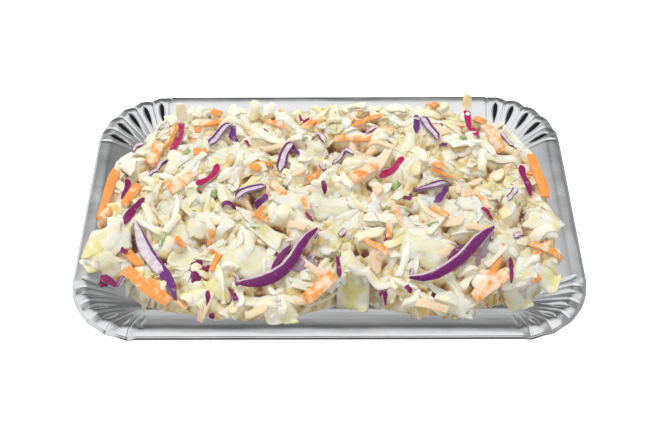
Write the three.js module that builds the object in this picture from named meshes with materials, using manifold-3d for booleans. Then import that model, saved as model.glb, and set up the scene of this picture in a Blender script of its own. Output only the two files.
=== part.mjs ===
// Coleslaw heaped on a rectangular foil platter with fluted corners.
// Millimetres, +Z up. The origin is the middle of the platter's flat base, and +X runs along its length.
import * as THREE from 'three';
import { mergeVertices } from 'three/addons/utils/BufferGeometryUtils.js';
import Module from 'manifold-3d';

const wasm = await Module();
wasm.setup();

// ---------------------------------------------------------------- driving dimensions

const PLATTER = { length: 320, width: 218, cornerRadius: 46, foil: 0.8 };

// The platter's upper face from the floor out to the hem. inset is the distance in from the outer edge.
// flute is how far a corner flute bulges out between its creases, pinch how far a crease pulls the rim in.
const PROFILE = [
  { inset: 42.5, height: 0.8, flute: 0, pinch: 0 },
  { inset: 39.5, height: 1.7, flute: 0.2, pinch: 0 },
  { inset: 36, height: 4, flute: 0.8, pinch: 0 },
  { inset: 24.5, height: 12.4, flute: 2.2, pinch: 0 },
  { inset: 14, height: 19.6, flute: 1.6, pinch: 0 },
  { inset: 10, height: 22.3, flute: 0.8, pinch: 0 },
  { inset: 6.5, height: 24, flute: 0.3, pinch: 0.3 },
  { inset: 3.2, height: 24, flute: 0, pinch: 0.8 },
  { inset: 0.8, height: 23.2, flute: 0, pinch: 1.3 },
  { inset: 0, height: 21.6, flute: 0, pinch: 1.3 },
];
const FLUTES_PER_CORNER = 5;
const STEPS_PER_FLUTE = 4;
const CORNER_LEAD = 4; // straight stretch over which the first and last crease die out

// The heap's outline in plan, and the form of its top.
const HEAP = {
  halfLength: 146,
  halfWidth: 96.5,
  frontLeftCornerRadius: 84,
  frontRightCornerRadius: 34,
  backCornerRadius: 78,
  edgeHeight: 20, // where the dome starts, level with the platter's shoulder
  rise: 20, // from there to the middle of the heap
  shoulder: 62, // how far in from the outline the top is reached
  skirt: 3, // thickness of the heap where it meets the foil
  skirtSlope: 2.2,
  leastDepth: 2,
  lobe: 2.5,
  lump: 1.8,
  notch: { x: 17, halfWidth: 26, depth: 28 }, // where the front edge draws back
  frontStep: { from: 60, to: 125, depth: 25 }, // how far the right end of the front edge is set back
  dip: { x: -25, halfWidth: 55, depth: 6.5, growsOver: 50, endsOver: 8 }, // where the top sinks at the back
};
const CLEARANCE = 0.5; // between food and foil
const SHRED_STEP = 13; // longest straight stretch along a shred
const SCATTER = { shreds: 50, chips: 30, candidates: 24, seed: 20 };

// ---------------------------------------------------------------- small helpers

const clamp01 = (v) => Math.min(Math.max(v, 0), 1);

// The same draws on every run.
function seededRandom(seed) {
  let state = seed;
  return () => {
    state = (state + 0x6d2b79f5) | 0;
    let t = Math.imul(state ^ (state >>> 15), 1 | state);
    t = (t + Math.imul(t ^ (t >>> 7), 61 | t)) ^ t;
    return ((t ^ (t >>> 14)) >>> 0) / 4294967296;
  };
}

// Distance inside a rounded rectangle; negative outside it.
function insideRoundedRectangle(x, y, halfLength, halfWidth, radius) {
  const dx = Math.abs(x) - (halfLength - radius);
  const dy = Math.abs(y) - (halfWidth - radius);
  const outside = Math.hypot(Math.max(dx, 0), Math.max(dy, 0));
  return radius - outside - Math.min(Math.max(dx, dy), 0);
}

// Grid of points, rows of equal length that close on themselves, with a fan over the first and the last row.
function closedGrid(rows) {
  const points = rows.flat();
  const count = rows[0].length;
  const index = [];
  for (let row = 0; row + 1 < rows.length; row += 1) {
    for (let i = 0; i < count; i += 1) {
      const next = (i + 1) % count;
      const a = row * count + i;
      const b = row * count + next;
      const c = a + count;
      const d = b + count;
      index.push(a, c, b, b, c, d);
    }
  }
  const last = (rows.length - 1) * count;
  const hub = (row) => row.reduce((sum, p) => sum.add(p), new THREE.Vector3()).divideScalar(count);
  points.push(hub(rows[0]), hub(rows[rows.length - 1]));
  for (let i = 0; i < count; i += 1) {
    const next = (i + 1) % count;
    index.push(points.length - 2, i, next);
    index.push(points.length - 1, last + next, last + i);
  }
  return new THREE.BufferGeometry().setFromPoints(points).setIndex(index);
}

// A closed geometry as a manifold solid, turned the right way out.
function toSolid(geometry) {
  const merged = mergeVertices(geometry, 1e-4);
  const make = (triVerts) =>
    new wasm.Manifold(
      new wasm.Mesh({ numProp: 3, vertProperties: merged.attributes.position.array, triVerts }),
    );
  const triangles = Uint32Array.from(merged.index.array);
  const solid = make(triangles);
  if (solid.volume() > 0) return solid;
  return make(Uint32Array.from(triangles).reverse());
}

function toGeometry(solid) {
  const mesh = solid.getMesh();
  const geometry = new THREE.BufferGeometry();
  geometry.setAttribute('position', new THREE.BufferAttribute(mesh.vertProperties, mesh.numProp));
  geometry.setIndex(new THREE.BufferAttribute(mesh.triVerts, 1));
  geometry.computeVertexNormals();
  return geometry;
}

// ---------------------------------------------------------------- platter

// Stations round the rim: an arc centre, the outward direction, and how much of a flute and a crease is there.
function rimStations() {
  const { length, width, cornerRadius } = PLATTER;
  const steps = FLUTES_PER_CORNER * STEPS_PER_FLUTE;
  const stations = [];
  for (let corner = 0; corner < 4; corner += 1) {
    const signX = corner === 0 || corner === 3 ? 1 : -1;
    const signY = corner < 2 ? 1 : -1;
    const centre = new THREE.Vector2(
      signX * (length / 2 - cornerRadius),
      signY * (width / 2 - cornerRadius),
    );
    for (let step = -1; step <= steps + 1; step += 1) {
      const onArc = step >= 0 && step <= steps;
      const angle = (corner + clamp01(step / steps)) * (Math.PI / 2);
      const outward = new THREE.Vector2(Math.cos(angle), Math.sin(angle));
      const along = new THREE.Vector2(-outward.y, outward.x);
      const lead = step < 0 ? -CORNER_LEAD : step > steps ? CORNER_LEAD : 0;
      const bulge = onArc ? Math.abs(Math.sin((Math.PI * step) / STEPS_PER_FLUTE)) : 0;
      stations.push({
        centre: centre.clone().addScaledVector(along, lead),
        outward,
        bulge,
        crease: onArc ? 1 - bulge : 0,
      });
    }
  }
  return stations;
}

// The profile moved by a distance along its own normal: negative goes to the underside.
function offsetProfile(profile, distance) {
  return profile.map((point, i) => {
    const before = profile[Math.max(i - 1, 0)];
    const after = profile[Math.min(i + 1, profile.length - 1)];
    const run = new THREE.Vector2(before.inset - after.inset, after.height - before.height);
    if (i === 0) run.set(1, 0);
    run.normalize();
    return {
      ...point,
      inset: point.inset + run.y * distance,
      height: point.height + run.x * distance,
    };
  });
}

// A loop of profile points carried round the rim.
function sweepRound(profile, stations) {
  const rows = profile.map(({ inset, height, flute, pinch }) =>
    stations.map(({ centre, outward, bulge, crease }) => {
      const flare = flute * bulge * Math.SQRT1_2;
      const radius = PLATTER.cornerRadius - inset + flare - pinch * crease;
      const z = height - flare - (pinch * crease) / 2;
      return new THREE.Vector3(centre.x + outward.x * radius, centre.y + outward.y * radius, z);
    }),
  );
  return closedGrid(rows);
}

function platterGeometry() {
  const under = offsetProfile(PROFILE, -PLATTER.foil).reverse();
  return sweepRound([...PROFILE, ...under], rimStations());
}

// Height of the platter's upper face under a point, flutes left out.
function platterTop(x, y) {
  const { length, width, cornerRadius } = PLATTER;
  const inset = insideRoundedRectangle(x, y, length / 2, width / 2, cornerRadius);
  if (inset >= PROFILE[0].inset) return PROFILE[0].height;
  for (let i = 1; i < PROFILE.length; i += 1) {
    const inner = PROFILE[i - 1];
    const outer = PROFILE[i];
    if (inset >= outer.inset) {
      const share = (inset - outer.inset) / (inner.inset - outer.inset);
      return outer.height + share * (inner.height - outer.height);
    }
  }
  return 0;
}

// Everything that food has to keep out of: the foil, its clearance, and the space outside the platter.
function keepOutSolid() {
  const flat = { flute: 0, pinch: 0 };
  const skin = offsetProfile(PROFILE, CLEARANCE).filter(({ inset }) => inset > 2);
  const roof = skin[skin.length - 1].height;
  const floor = -20;
  const outside = -40;
  const wall = [
    { inset: outside, height: roof, ...flat },
    { inset: outside, height: floor, ...flat },
    { inset: skin[0].inset, height: floor, ...flat },
  ];
  return toSolid(sweepRound([...skin, ...wall], rimStations()));
}

// ---------------------------------------------------------------- heap core

// What share of its full reach the outline has along Y. It is less than one only in front, where the edge
// is set back by a notch and, on the right, by a smooth step.
function reachAt(x, y) {
  if (y >= 0) return 1;
  const { halfWidth, notch, frontStep } = HEAP;
  const bell = Math.exp(-(((x - notch.x) / notch.halfWidth) ** 2));
  const step = THREE.MathUtils.smoothstep(x, frontStep.from, frontStep.to);
  return 1 - (notch.depth * bell + frontStep.depth * step) / halfWidth;
}

// The outline is broadly rounded at three corners and tight at the right one in front.
function heapCornerRadius(x, y) {
  if (y > 0) return HEAP.backCornerRadius;
  return x < 0 ? HEAP.frontLeftCornerRadius : HEAP.frontRightCornerRadius;
}

// Distance in from the outline, measured where the front is not yet set back.
function heapDepth(x, y) {
  const { halfLength, halfWidth } = HEAP;
  return insideRoundedRectangle(x, y / reachAt(x, y), halfLength, halfWidth, heapCornerRadius(x, y));
}

// How far the top sinks: a bell curve along X that grows towards the back and ends at the outline.
function dipAt(x, y, depth) {
  const { x: middle, halfWidth, depth: deepest, growsOver, endsOver } = HEAP.dip;
  const bell = Math.exp(-(((x - middle) / halfWidth) ** 2));
  return deepest * bell * clamp01(y / growsOver) * clamp01(depth / endsOver);
}

// Height of the heap's core: a dome that starts at the rim and sinks at the back, four low lobes, and lumps
// as broad as a spoonful.
function heapTop(x, y) {
  const depth = Math.max(heapDepth(x, y), 0);
  const toTop = 1 - clamp01(depth / HEAP.shoulder);
  const dome = HEAP.edgeHeight + HEAP.rise * (1 - toTop * toTop);
  const lobes = HEAP.lobe * Math.cos(x / 22.3) * Math.cos(y / 17.5);
  const lumps = HEAP.lump * (Math.sin(x / 9 + 1.3) * Math.sin(y / 8 + 0.7) + 0.7 * Math.sin((x + y) / 13 + 2));
  const fade = clamp01(depth / 20);
  const under = platterTop(x, y);
  const skirt = under + HEAP.skirt + HEAP.skirtSlope * depth;
  const top = dome - dipAt(x, y, depth) + (lobes + lumps) * fade;
  return Math.max(Math.min(top, skirt), under + HEAP.leastDepth);
}

// Points round the heap's outline, corners on arcs and sides split evenly.
function heapOutline() {
  const { halfLength, halfWidth } = HEAP;
  const arcs = 7;
  const sides = [4, 7];
  const points = [];
  for (let corner = 0; corner < 4; corner += 1) {
    const signX = corner === 0 || corner === 3 ? 1 : -1;
    const signY = corner < 2 ? 1 : -1;
    const at = (angle, sx, sy) => {
      const radius = heapCornerRadius(sx, sy);
      const x = sx * (halfLength - radius) + radius * Math.cos(angle);
      const y = sy * (halfWidth - radius) + radius * Math.sin(angle);
      return new THREE.Vector2(x, y);
    };
    for (let k = 0; k <= arcs; k += 1) {
      points.push(at((corner + k / arcs) * (Math.PI / 2), signX, signY));
    }
    const end = points[points.length - 1];
    const nextSignX = corner === 0 || corner === 1 ? -1 : 1;
    const nextSignY = corner === 0 || corner === 3 ? 1 : -1;
    const next = at((corner + 1) * (Math.PI / 2), nextSignX, nextSignY);
    const split = sides[(corner + 1) % 2];
    for (let k = 1; k < split; k += 1) points.push(end.clone().lerp(next, k / split));
  }
  return points.map((p) => new THREE.Vector2(p.x, p.y * reachAt(p.x, p.y)));
}

function coreSolid() {
  const outline = heapOutline();
  const topShares = [0.08, 0.18, 0.3, 0.42, 0.54, 0.66, 0.77, 0.87, 0.95, 1];
  const underShares = [1, 0.96, 0.91, 0.86, 0.8];
  const row = (share, height) =>
    outline.map((p) => new THREE.Vector3(p.x * share, p.y * share, height(p.x * share, p.y * share)));
  const rows = [
    ...topShares.map((share) => row(share, heapTop)),
    ...underShares.map((share) => row(share, (x, y) => platterTop(x, y) + CLEARANCE)),
  ];
  return toSolid(closedGrid(rows));
}

// ---------------------------------------------------------------- shreds and chips of vegetable

// A shred of four-sided section along a bowed line that rides on the heap. x and y are its middle,
// heading its direction from +X in degrees, bow how far its middle stands aside from its ends.
function shredSolid({ x, y, heading, length, width, thickness, bow, lift, pitch, roll }) {
  const direction = THREE.MathUtils.degToRad(heading);
  const ahead = new THREE.Vector2(Math.cos(direction), Math.sin(direction));
  const aside = new THREE.Vector2(-ahead.y, ahead.x);
  const steps = Math.max(Math.ceil(length / SHRED_STEP), 2);
  const spine = [];
  for (let i = 0; i <= steps; i += 1) {
    const t = (2 * i) / steps - 1;
    const px = x + (ahead.x * t * length) / 2 + aside.x * bow * (0.5 - t * t);
    const py = y + (ahead.y * t * length) / 2 + aside.y * bow * (0.5 - t * t);
    spine.push(new THREE.Vector3(px, py, heapTop(px, py) + lift + pitch * t));
  }
  const rows = spine.map((point, i) => {
    const t = (2 * i) / steps - 1;
    const before = spine[Math.max(i - 1, 0)];
    const after = spine[Math.min(i + 1, steps)];
    const along = after.clone().sub(before).normalize();
    const side = new THREE.Vector3(0, 0, 1).cross(along).normalize();
    side.applyAxisAngle(along, roll);
    const normal = along.clone().cross(side);
    const taper = 1 - 0.35 * t * t;
    const across = side.multiplyScalar((width * taper) / 2);
    const up = normal.multiplyScalar(thickness / 2);
    return [
      point.clone().add(across).add(up),
      point.clone().sub(across).add(up),
      point.clone().sub(across).sub(up),
      point.clone().add(across).sub(up),
    ];
  });
  return toSolid(closedGrid(rows));
}

// Pushes a sine or cosine towards its ends, which turns an oval into a blunt-ended shape.
const squarer = (v) => Math.sign(v) * Math.abs(v) ** 0.6;

// A chip of leaf: a thin wavy eight-sided plate, both faces fanned alike.
function chipSolid({ x, y, heading, length, width, thickness, wave, lift, pitch, roll }) {
  const sides = 8;
  const direction = THREE.MathUtils.degToRad(heading);
  const edge = [];
  for (let i = 0; i < sides; i += 1) {
    const angle = (i / sides) * 2 * Math.PI;
    const reach = 1 + 0.1 * Math.sin(3 * angle + heading);
    const along = (squarer(Math.cos(angle)) * reach * length) / 2;
    const across = (squarer(Math.sin(angle)) * reach * width) / 2;
    const px = x + along * Math.cos(direction) - across * Math.sin(direction);
    const py = y + along * Math.sin(direction) + across * Math.cos(direction);
    const slope = (pitch * along * 2) / length + roll * across;
    const ripple = wave * Math.sin(2 * angle + heading);
    edge.push(new THREE.Vector3(px, py, heapTop(x, y) + lift + slope + ripple));
  }
  const lowered = edge.map((p) => p.clone().setZ(p.z - thickness));
  return toSolid(closedGrid([edge, lowered]));
}

// The long shreds that catch the eye, at their own places: x, y, heading, length, bow.
const RED_SHREDS = [
  [-107, -55, -64, 64, 6],
  [-32, -62, 38, 66, -9],
  [77, -60, 36, 64, -9],
  [-104, 52, 80, 36, -7],
  [-81, 9, 55, 26, -4],
  [-73, 44, 50, 28, 2],
  [-28, 28, 65, 34, 3],
  [-50, -6, 24, 26, 3],
  [98, 62, -80, 40, -6],
  [41, 14, 45, 26, -4],
  [66, 58, -60, 36, 2],
  [68, -3, 20, 26, 3],
  [131, 13, -85, 28, 2],
  [-126, -14, 62, 24, 2],
];
const CARROT_SHREDS = [
  [-110, -68, -43, 40, 2],
  [-143, 14, 82, 40, 2],
  [-128, 4, 62, 22, 1],
  [139, 22, -80, 38, 2],
  [-6, -73, 48, 26, -3],
  [98, -69, 38, 28, -3],
  [133, -44, -12, 22, 1],
  [29, -55, -34, 20, 1],
  [-117, 35, 70, 22, 2],
  [-96, 2, 52, 22, 2],
  [112, 45, -66, 26, 2],
  [23, 8, 50, 26, 2],
];
// The large chips of leaf: x, y, heading, length, width, lift. The first lies over the platter's rim.
const LARGE_CHIPS = [
  [-136, -35, 6, 40, 22, 4.4],
  [-48, -64, -14, 34, 24, 1.9],
  [60, -55, -16, 34, 26, 1.9],
  [137, -15, -30, 26, 18, 2.2],
  [119, -57, -60, 24, 18, 2],
  [15, -54, -60, 28, 20, 2],
  [-92, -34, 20, 24, 20, 1.9],
  [-86, -58, 60, 20, 16, 1.9],
];

function placedPieces() {
  const shred = (width, thickness, lift) => ([x, y, heading, length, bow]) =>
    shredSolid({ x, y, heading, length, width, thickness, bow, lift, pitch: 0.6, roll: 0.15 });
  const chip = ([x, y, heading, length, width, lift]) =>
    chipSolid({ x, y, heading, length, width, thickness: 1.4, wave: 0.9, lift, pitch: 1.2, roll: 0.06 });
  return [
    ...RED_SHREDS.map(shred(5.2, 2.2, 1)),
    ...CARROT_SHREDS.map(shred(6, 2.8, 1.2)),
    ...LARGE_CHIPS.map(chip),
  ];
}

// Middles spread evenly over the heap: each is the one of several draws that lies furthest from those before it
// and from the pieces that already have a place.
function evenMiddles(count, random) {
  const taken = [...RED_SHREDS, ...CARROT_SHREDS, ...LARGE_CHIPS].map(([x, y]) => ({ x, y }));
  const middles = [...taken];
  while (middles.length < taken.length + count) {
    let best = null;
    for (let i = 0; i < SCATTER.candidates; i += 1) {
      const x = (2 * random() - 1) * HEAP.halfLength;
      const y = (2 * random() - 1) * HEAP.halfWidth;
      if (heapDepth(x, y) < 3) continue;
      const gap = Math.min(...middles.map((m) => Math.hypot(m.x - x, m.y - y)));
      if (!best || gap > best.gap) best = { x, y, gap };
    }
    if (best) middles.push(best);
  }
  return middles.slice(taken.length);
}

function scatteredPieces() {
  const random = seededRandom(SCATTER.seed);
  const between = (low, high) => low + (high - low) * random();
  return evenMiddles(SCATTER.shreds + SCATTER.chips, random).map(({ x, y }, i) => {
    const piece = {
      x,
      y,
      heading: between(0, 180),
      lift: between(0.4, 1.4),
      pitch: between(-2.6, 2.6),
      roll: between(-0.35, 0.35),
    };
    if (i < SCATTER.shreds) {
      return shredSolid({
        ...piece,
        length: between(20, 38),
        width: between(3.5, 5.5),
        thickness: between(1.6, 2.4),
        bow: between(-4, 4),
      });
    }
    return chipSolid({
      ...piece,
      length: between(14, 24),
      width: between(10, 17),
      thickness: 1.4,
      wave: 0.8,
      roll: piece.roll / 2,
      lift: piece.lift + 0.6,
    });
  });
}

// Core and pieces in one body. A piece that would reach the foil is left out, and what fusing
// seals off or cuts loose goes with all but the largest body.
function coleslawGeometry() {
  const keepOut = keepOutSolid();
  const pieces = [...placedPieces(), ...scatteredPieces()];
  const fitting = pieces.filter((piece) => piece.intersect(keepOut).volume() < 1e-6);
  const fused = fitting.reduce((heap, piece) => heap.add(piece), coreSolid());
  const bodies = fused.decompose().sort((a, b) => b.volume() - a.volume());
  return toGeometry(bodies[0]);
}

// ---------------------------------------------------------------- the object

function mesh(name, geometry, material) {
  const made = new THREE.Mesh(geometry, material);
  made.name = name;
  return made;
}

const foil = new THREE.MeshStandardMaterial({ color: 0xc3c5c8, metalness: 1, roughness: 0.24 });
const creamySalad = new THREE.MeshStandardMaterial({ color: 0xf0ebd2, metalness: 0, roughness: 0.45 });

const object = new THREE.Group();
object.name = 'coleslaw_on_platter';
object.add(mesh('platter', platterGeometry(), foil));
object.add(mesh('coleslaw', coleslawGeometry(), creamySalad));

export default object;
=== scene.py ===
import math

import bmesh
import bpy
import numpy as np
from mathutils import Matrix


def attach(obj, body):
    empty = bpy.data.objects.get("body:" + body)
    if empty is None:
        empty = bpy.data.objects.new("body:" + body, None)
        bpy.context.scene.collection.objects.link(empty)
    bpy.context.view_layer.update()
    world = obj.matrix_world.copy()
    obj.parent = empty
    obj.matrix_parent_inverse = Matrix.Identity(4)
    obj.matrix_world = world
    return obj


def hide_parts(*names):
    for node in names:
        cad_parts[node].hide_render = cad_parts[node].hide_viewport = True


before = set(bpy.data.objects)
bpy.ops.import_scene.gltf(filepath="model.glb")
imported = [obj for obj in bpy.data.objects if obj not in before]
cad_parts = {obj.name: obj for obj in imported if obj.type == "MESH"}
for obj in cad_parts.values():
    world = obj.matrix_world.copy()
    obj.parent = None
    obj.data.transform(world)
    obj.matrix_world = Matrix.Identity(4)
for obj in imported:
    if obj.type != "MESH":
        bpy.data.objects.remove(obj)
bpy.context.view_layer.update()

# ------------------------------------------------------------------ eye
# A long lens looks down on the platter from before its long side.
PICTURE_WIDTH, PICTURE_HEIGHT = 660, 440
FOCAL_PIXELS = 1192
SENSOR_WIDTH = 36.0
EYE_DISTANCE = 0.777
EYE_ELEVATION = math.radians(46.9)
EYE_ROLL = math.radians(-0.17)
EYE_TARGET = np.array([0.0006, -0.0138, 0.024])

back = np.array([0.0, -math.cos(EYE_ELEVATION), math.sin(EYE_ELEVATION)])
level_right = np.array([1.0, 0.0, 0.0])
level_up = np.cross(back, level_right)
right = level_right * math.cos(EYE_ROLL) + level_up * math.sin(EYE_ROLL)
up = level_up * math.cos(EYE_ROLL) - level_right * math.sin(EYE_ROLL)
eye_place = np.eye(4)
eye_place[:3, 0], eye_place[:3, 1], eye_place[:3, 2] = right, up, back
eye_place[:3, 3] = EYE_TARGET + back * EYE_DISTANCE

lens = bpy.data.cameras.new("eye")
lens.sensor_width = SENSOR_WIDTH
lens.lens = SENSOR_WIDTH * FOCAL_PIXELS / PICTURE_WIDTH
lens.clip_start, lens.clip_end = 0.02, 20.0
eye = bpy.data.objects.new("eye", lens)
bpy.context.scene.collection.objects.link(eye)
eye.matrix_world = Matrix(eye_place.tolist())
bpy.context.scene.camera = eye

# ------------------------------------------------------------------ foil platter
# A shallow rectangular platter pressed from thin aluminium foil. Its corners are gathered into flutes,
# its flange is a broad shallow roll and its edge is turned under. Lengths are millimetres until a mesh
# is made.
MILLIMETRE = 0.001
PLATTER_LENGTH, PLATTER_WIDTH, PLATTER_CORNER = 320.0, 218.0, 46.0
FOIL_THICKNESS = 0.5
# The upper face from the floor out to the turned edge: distance in from the outer edge, height, how
# wide the pocket of a flute is there, how deep the crease between two flutes is, and how far the rim
# bends down at a corner.
FOIL_PROFILE = np.array([
    (44.0, 0.8, 0.0, 0.0, 0.0),
    (41.0, 1.5, 0.0, 0.0, 0.0),
    (37.5, 3.3, 0.0, 0.0, 0.0),
    (31.5, 8.0, 0.0, 0.1, 0.0),
    (25.5, 12.5, 0.0, 0.3, 0.0),
    (19.5, 16.7, 0.2, 0.6, 0.0),
    (15.5, 19.3, 0.85, 0.9, 0.0),
    (12.5, 21.2, 1.0, 1.0, 0.0),
    (10.5, 22.4, 1.0, 1.0, 0.0),
    (8.5, 23.45, 0.7, 1.0, 0.0),
    (6.5, 23.9, 0.0, 1.0, 0.1),
    (5.0, 24.0, 0.0, 1.0, 0.3),
    (3.0, 24.0, 0.0, 1.0, 0.8),
    (1.5, 23.9, 0.0, 1.0, 1.3),
    (0.8, 23.7, 0.0, 0.9, 1.5),
    (0.35, 23.2, 0.0, 0.8, 1.5),
    (0.1, 22.5, 0.0, 0.8, 1.5),
    (0.0, 21.6, 0.0, 0.7, 1.4),
    (0.0, 20.8, 0.0, 0.6, 1.2),
    (0.3, 20.4, 0.0, 0.5, 1.0),
    (1.2, 20.6, 0.0, 0.3, 0.6),
])
TOP_ROWS = 18
FOIL_STEP = 0.65
FLUTES, FLUTE_STEPS = 5, 20
POCKET_DEPTH, POCKET_HALF_WIDTH = 1.6, 2.3
FRONT_OPENNESS = 0.45
PETAL_RISE = 0.9
CREASE_DEPTH, CREASE_HALF_WIDTH = 0.9, 0.9
WAVINESS = 0.22


def inside_rounded_rectangle(x, y, half_length, half_width, radius):
    """Distance inside a rectangle with round corners: the radius, less how far the point is from the
    inner rectangle that the corner arcs are centred on."""
    dx = np.abs(x) - (half_length - radius)
    dy = np.abs(y) - (half_width - radius)
    outside = np.hypot(np.maximum(dx, 0), np.maximum(dy, 0))
    return radius - outside - np.minimum(np.maximum(dx, dy), 0)


def platter_top(x, y):
    """Height of the platter's upper face under a point: its profile read at the distance in from the edge."""
    inset = inside_rounded_rectangle(x, y, PLATTER_LENGTH / 2, PLATTER_WIDTH / 2, PLATTER_CORNER)
    outward = FOIL_PROFILE[:TOP_ROWS][::-1]
    return np.interp(inset, outward[:, 0], outward[:, 1], left=0.0)


def finer(rows, step, rounding):
    """Rows of numbers resampled every step along the line of their first two columns, then rounded off
    by averaging each with its neighbours."""
    run = np.hypot(np.diff(rows[:, 0]), np.diff(rows[:, 1]))
    reach = np.concatenate([[0], np.cumsum(run)])
    at = np.linspace(0, reach[-1], int(reach[-1] / step) + 1)
    fine = np.stack([np.interp(at, reach, column) for column in rows.T], axis=1)
    for _ in range(rounding):
        fine[1:-1] = (fine[:-2] + 2 * fine[1:-1] + fine[2:]) / 4
    return fine


def rim_stations():
    """Round the rim: the arc's centre, the outward direction, how far off the nearest crease a station
    is as a share of a flute, how much it belongs to a corner, and how open its flute is. Corners are
    arcs, and the sides between them are straight. The flutes of the front corners are pressed flatter."""
    centres, angles, off_creases, corners, opens = [], [], [], [], []
    half = np.array([PLATTER_LENGTH, PLATTER_WIDTH]) / 2 - PLATTER_CORNER
    signs = np.array([(1, 1), (-1, 1), (-1, -1), (1, -1)])
    for corner in range(4):
        turn = np.linspace(0, FLUTES, FLUTES * FLUTE_STEPS + 1)
        is_back = signs[corner][1] > 0
        crease_turn = turn + (0.0 if is_back else 0.5)
        centre = half * signs[corner]
        following = half * signs[(corner + 1) % 4]
        side = np.linalg.norm(following - centre)
        middle = np.arange(8, side - 6, 5.0)
        along = np.concatenate([[1.2, 3.0, 5.0], middle, [side - 5.0, side - 3.0, side - 1.2]])
        centres += [np.repeat(centre[None], len(turn), 0), centre + (following - centre) * along[:, None] / side]
        angles += [(corner + turn / FLUTES) * math.pi / 2, np.full(len(along), (corner + 1) * math.pi / 2)]
        off_creases += [np.abs(crease_turn - np.rint(crease_turn)), np.full(len(along), 9.0)]
        corners += [np.clip(0.02 + 2.5 * np.minimum(turn, FLUTES - turn), 0, 1), np.zeros(len(along))]
        opens += [np.full(len(turn), 1.0 if is_back else FRONT_OPENNESS), np.zeros(len(along))]
    return [np.concatenate(part) for part in (centres, angles, off_creases, corners, opens)]


def foil_points():
    """Every point of the foil as rows of a closed section carried round the rim, and how deep in a
    pocket each is; that depth also sets the painted shade in the pockets. Each flute has a lens-shaped
    pocket in the wall, there is a narrow crease between two flutes, and the rim bends down, less so at
    the middle of a flute. The whole wavers by a few crossed sines, as thin foil does."""
    centres, angles, off_creases, corners, opens = rim_stations()
    outward = np.stack([np.cos(angles), np.sin(angles)], axis=1)
    upper = finer(FOIL_PROFILE, FOIL_STEP, 2)
    slope = np.gradient(upper[:, :2], axis=0)
    slope /= np.linalg.norm(slope, axis=1)[:, None]
    lower = upper.copy()
    lower[:, 0] += slope[:, 1] * FOIL_THICKNESS
    lower[:, 1] += slope[:, 0] * FOIL_THICKNESS
    lower[0, :2] = upper[0, 0], 0.0
    section = np.concatenate([upper, lower[::-1]])
    inset, height, pocket, crease, petal = (section[:, k][:, None] for k in range(5))
    flute_length = (PLATTER_CORNER - inset) * math.pi / 2 / FLUTES
    off_crease = off_creases * flute_length
    off_pocket = (0.5 - np.minimum(off_creases, 0.5)) * flute_length
    lens = np.clip(1 - (off_pocket / np.maximum(POCKET_HALF_WIDTH * pocket, 0.01)) ** 2, 0, 1)
    deep = lens * np.clip(pocket / 0.2, 0, 1) * opens
    creased = np.clip(1 - off_crease / CREASE_HALF_WIDTH, 0, 1) * crease
    domed = PETAL_RISE * petal * corners * np.sin(math.pi * np.minimum(off_creases, 0.5)) ** 2
    radius = PLATTER_CORNER - inset + POCKET_DEPTH * deep - 0.4 * creased
    x = centres[:, 0] + outward[:, 0] * radius
    y = centres[:, 1] + outward[:, 1] * radius
    waver = np.sin(x / 13 + 0.8 * np.sin(y / 17)) * np.sin(y / 11 + 0.9 * np.sin(x / 19 + 1))
    waver += 0.5 * np.sin((x + y) / 6.3 + 2) * np.sin((x - y) / 8.1)
    off_floor = np.clip((height - 3) / 8, 0, 1) * np.clip((inset - 0.4) / 3, 0.2, 1)
    z = height - petal * corners + domed - CREASE_DEPTH * creased - deep + WAVINESS * waver * off_floor
    grid = np.stack(np.broadcast_arrays(x, y, z), axis=-1)
    hub_top, hub_bottom = np.zeros_like(grid[:1]), np.zeros_like(grid[:1])
    hub_top[..., 2] = FOIL_PROFILE[0, 1]
    flat = np.zeros_like(deep[:1])
    return np.concatenate([hub_top, grid, hub_bottom]), np.concatenate([flat, deep, flat])


def band_quads(rows, columns):
    """Four-sided faces of a grid whose rows close on themselves."""
    a = np.arange(rows - 1)[:, None] * columns + np.arange(columns)
    b = np.arange(rows - 1)[:, None] * columns + (np.arange(columns) + 1) % columns
    return np.stack([a, b, b + columns, a + columns], axis=-1).reshape(-1, 4)


def make_piece(name, points, quads, material, values=None, closed_by_merging=False, crisp_over=None):
    """A smooth mesh from points in millimetres and four-sided faces, with any named value per point.
    Poles and seams that only touch are merged, and the faces are turned outwards. Edges that turn by
    more degrees than crisp_over stay crisp."""
    mesh = bpy.data.meshes.new(name)
    mesh.vertices.add(len(points))
    mesh.vertices.foreach_set("co", (points * MILLIMETRE).astype(np.float32).ravel())
    mesh.loops.add(quads.size)
    mesh.loops.foreach_set("vertex_index", quads.astype(np.int32).ravel())
    mesh.polygons.add(len(quads))
    mesh.polygons.foreach_set("loop_start", np.arange(0, quads.size, 4, dtype=np.int32))
    mesh.polygons.foreach_set("use_smooth", np.ones(len(quads), bool))
    for label, value in (values or {}).items():
        mesh.attributes.new(label, "FLOAT", "POINT").data.foreach_set("value", value.astype(np.float32).ravel())
    mesh.update(calc_edges=True)
    if closed_by_merging:
        shell = bmesh.new()
        shell.from_mesh(mesh)
        bmesh.ops.remove_doubles(shell, verts=shell.verts, dist=1e-7)
        bmesh.ops.recalc_face_normals(shell, faces=shell.faces)
        shell.to_mesh(mesh)
        shell.free()
    if crisp_over is not None:
        mesh.set_sharp_from_angle(angle=math.radians(crisp_over))
    mesh.materials.append(material)
    piece = bpy.data.objects.new(name, mesh)
    bpy.context.scene.collection.objects.link(piece)
    piece.visible_glossy = False
    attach(piece, "root")
    return piece


def node_maker(tree):
    """A call that adds a node to a shader tree, joins or sets its inputs and sets its options."""
    def node(kind, inputs=None, **settings):
        made = tree.nodes.new(kind)
        for key, value in settings.items():
            setattr(made, key, value)
        for key, value in (inputs or {}).items():
            if isinstance(value, bpy.types.NodeSocket):
                tree.links.new(value, made.inputs[key])
            else:
                made.inputs[key].default_value = value
        return made

    return node


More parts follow.
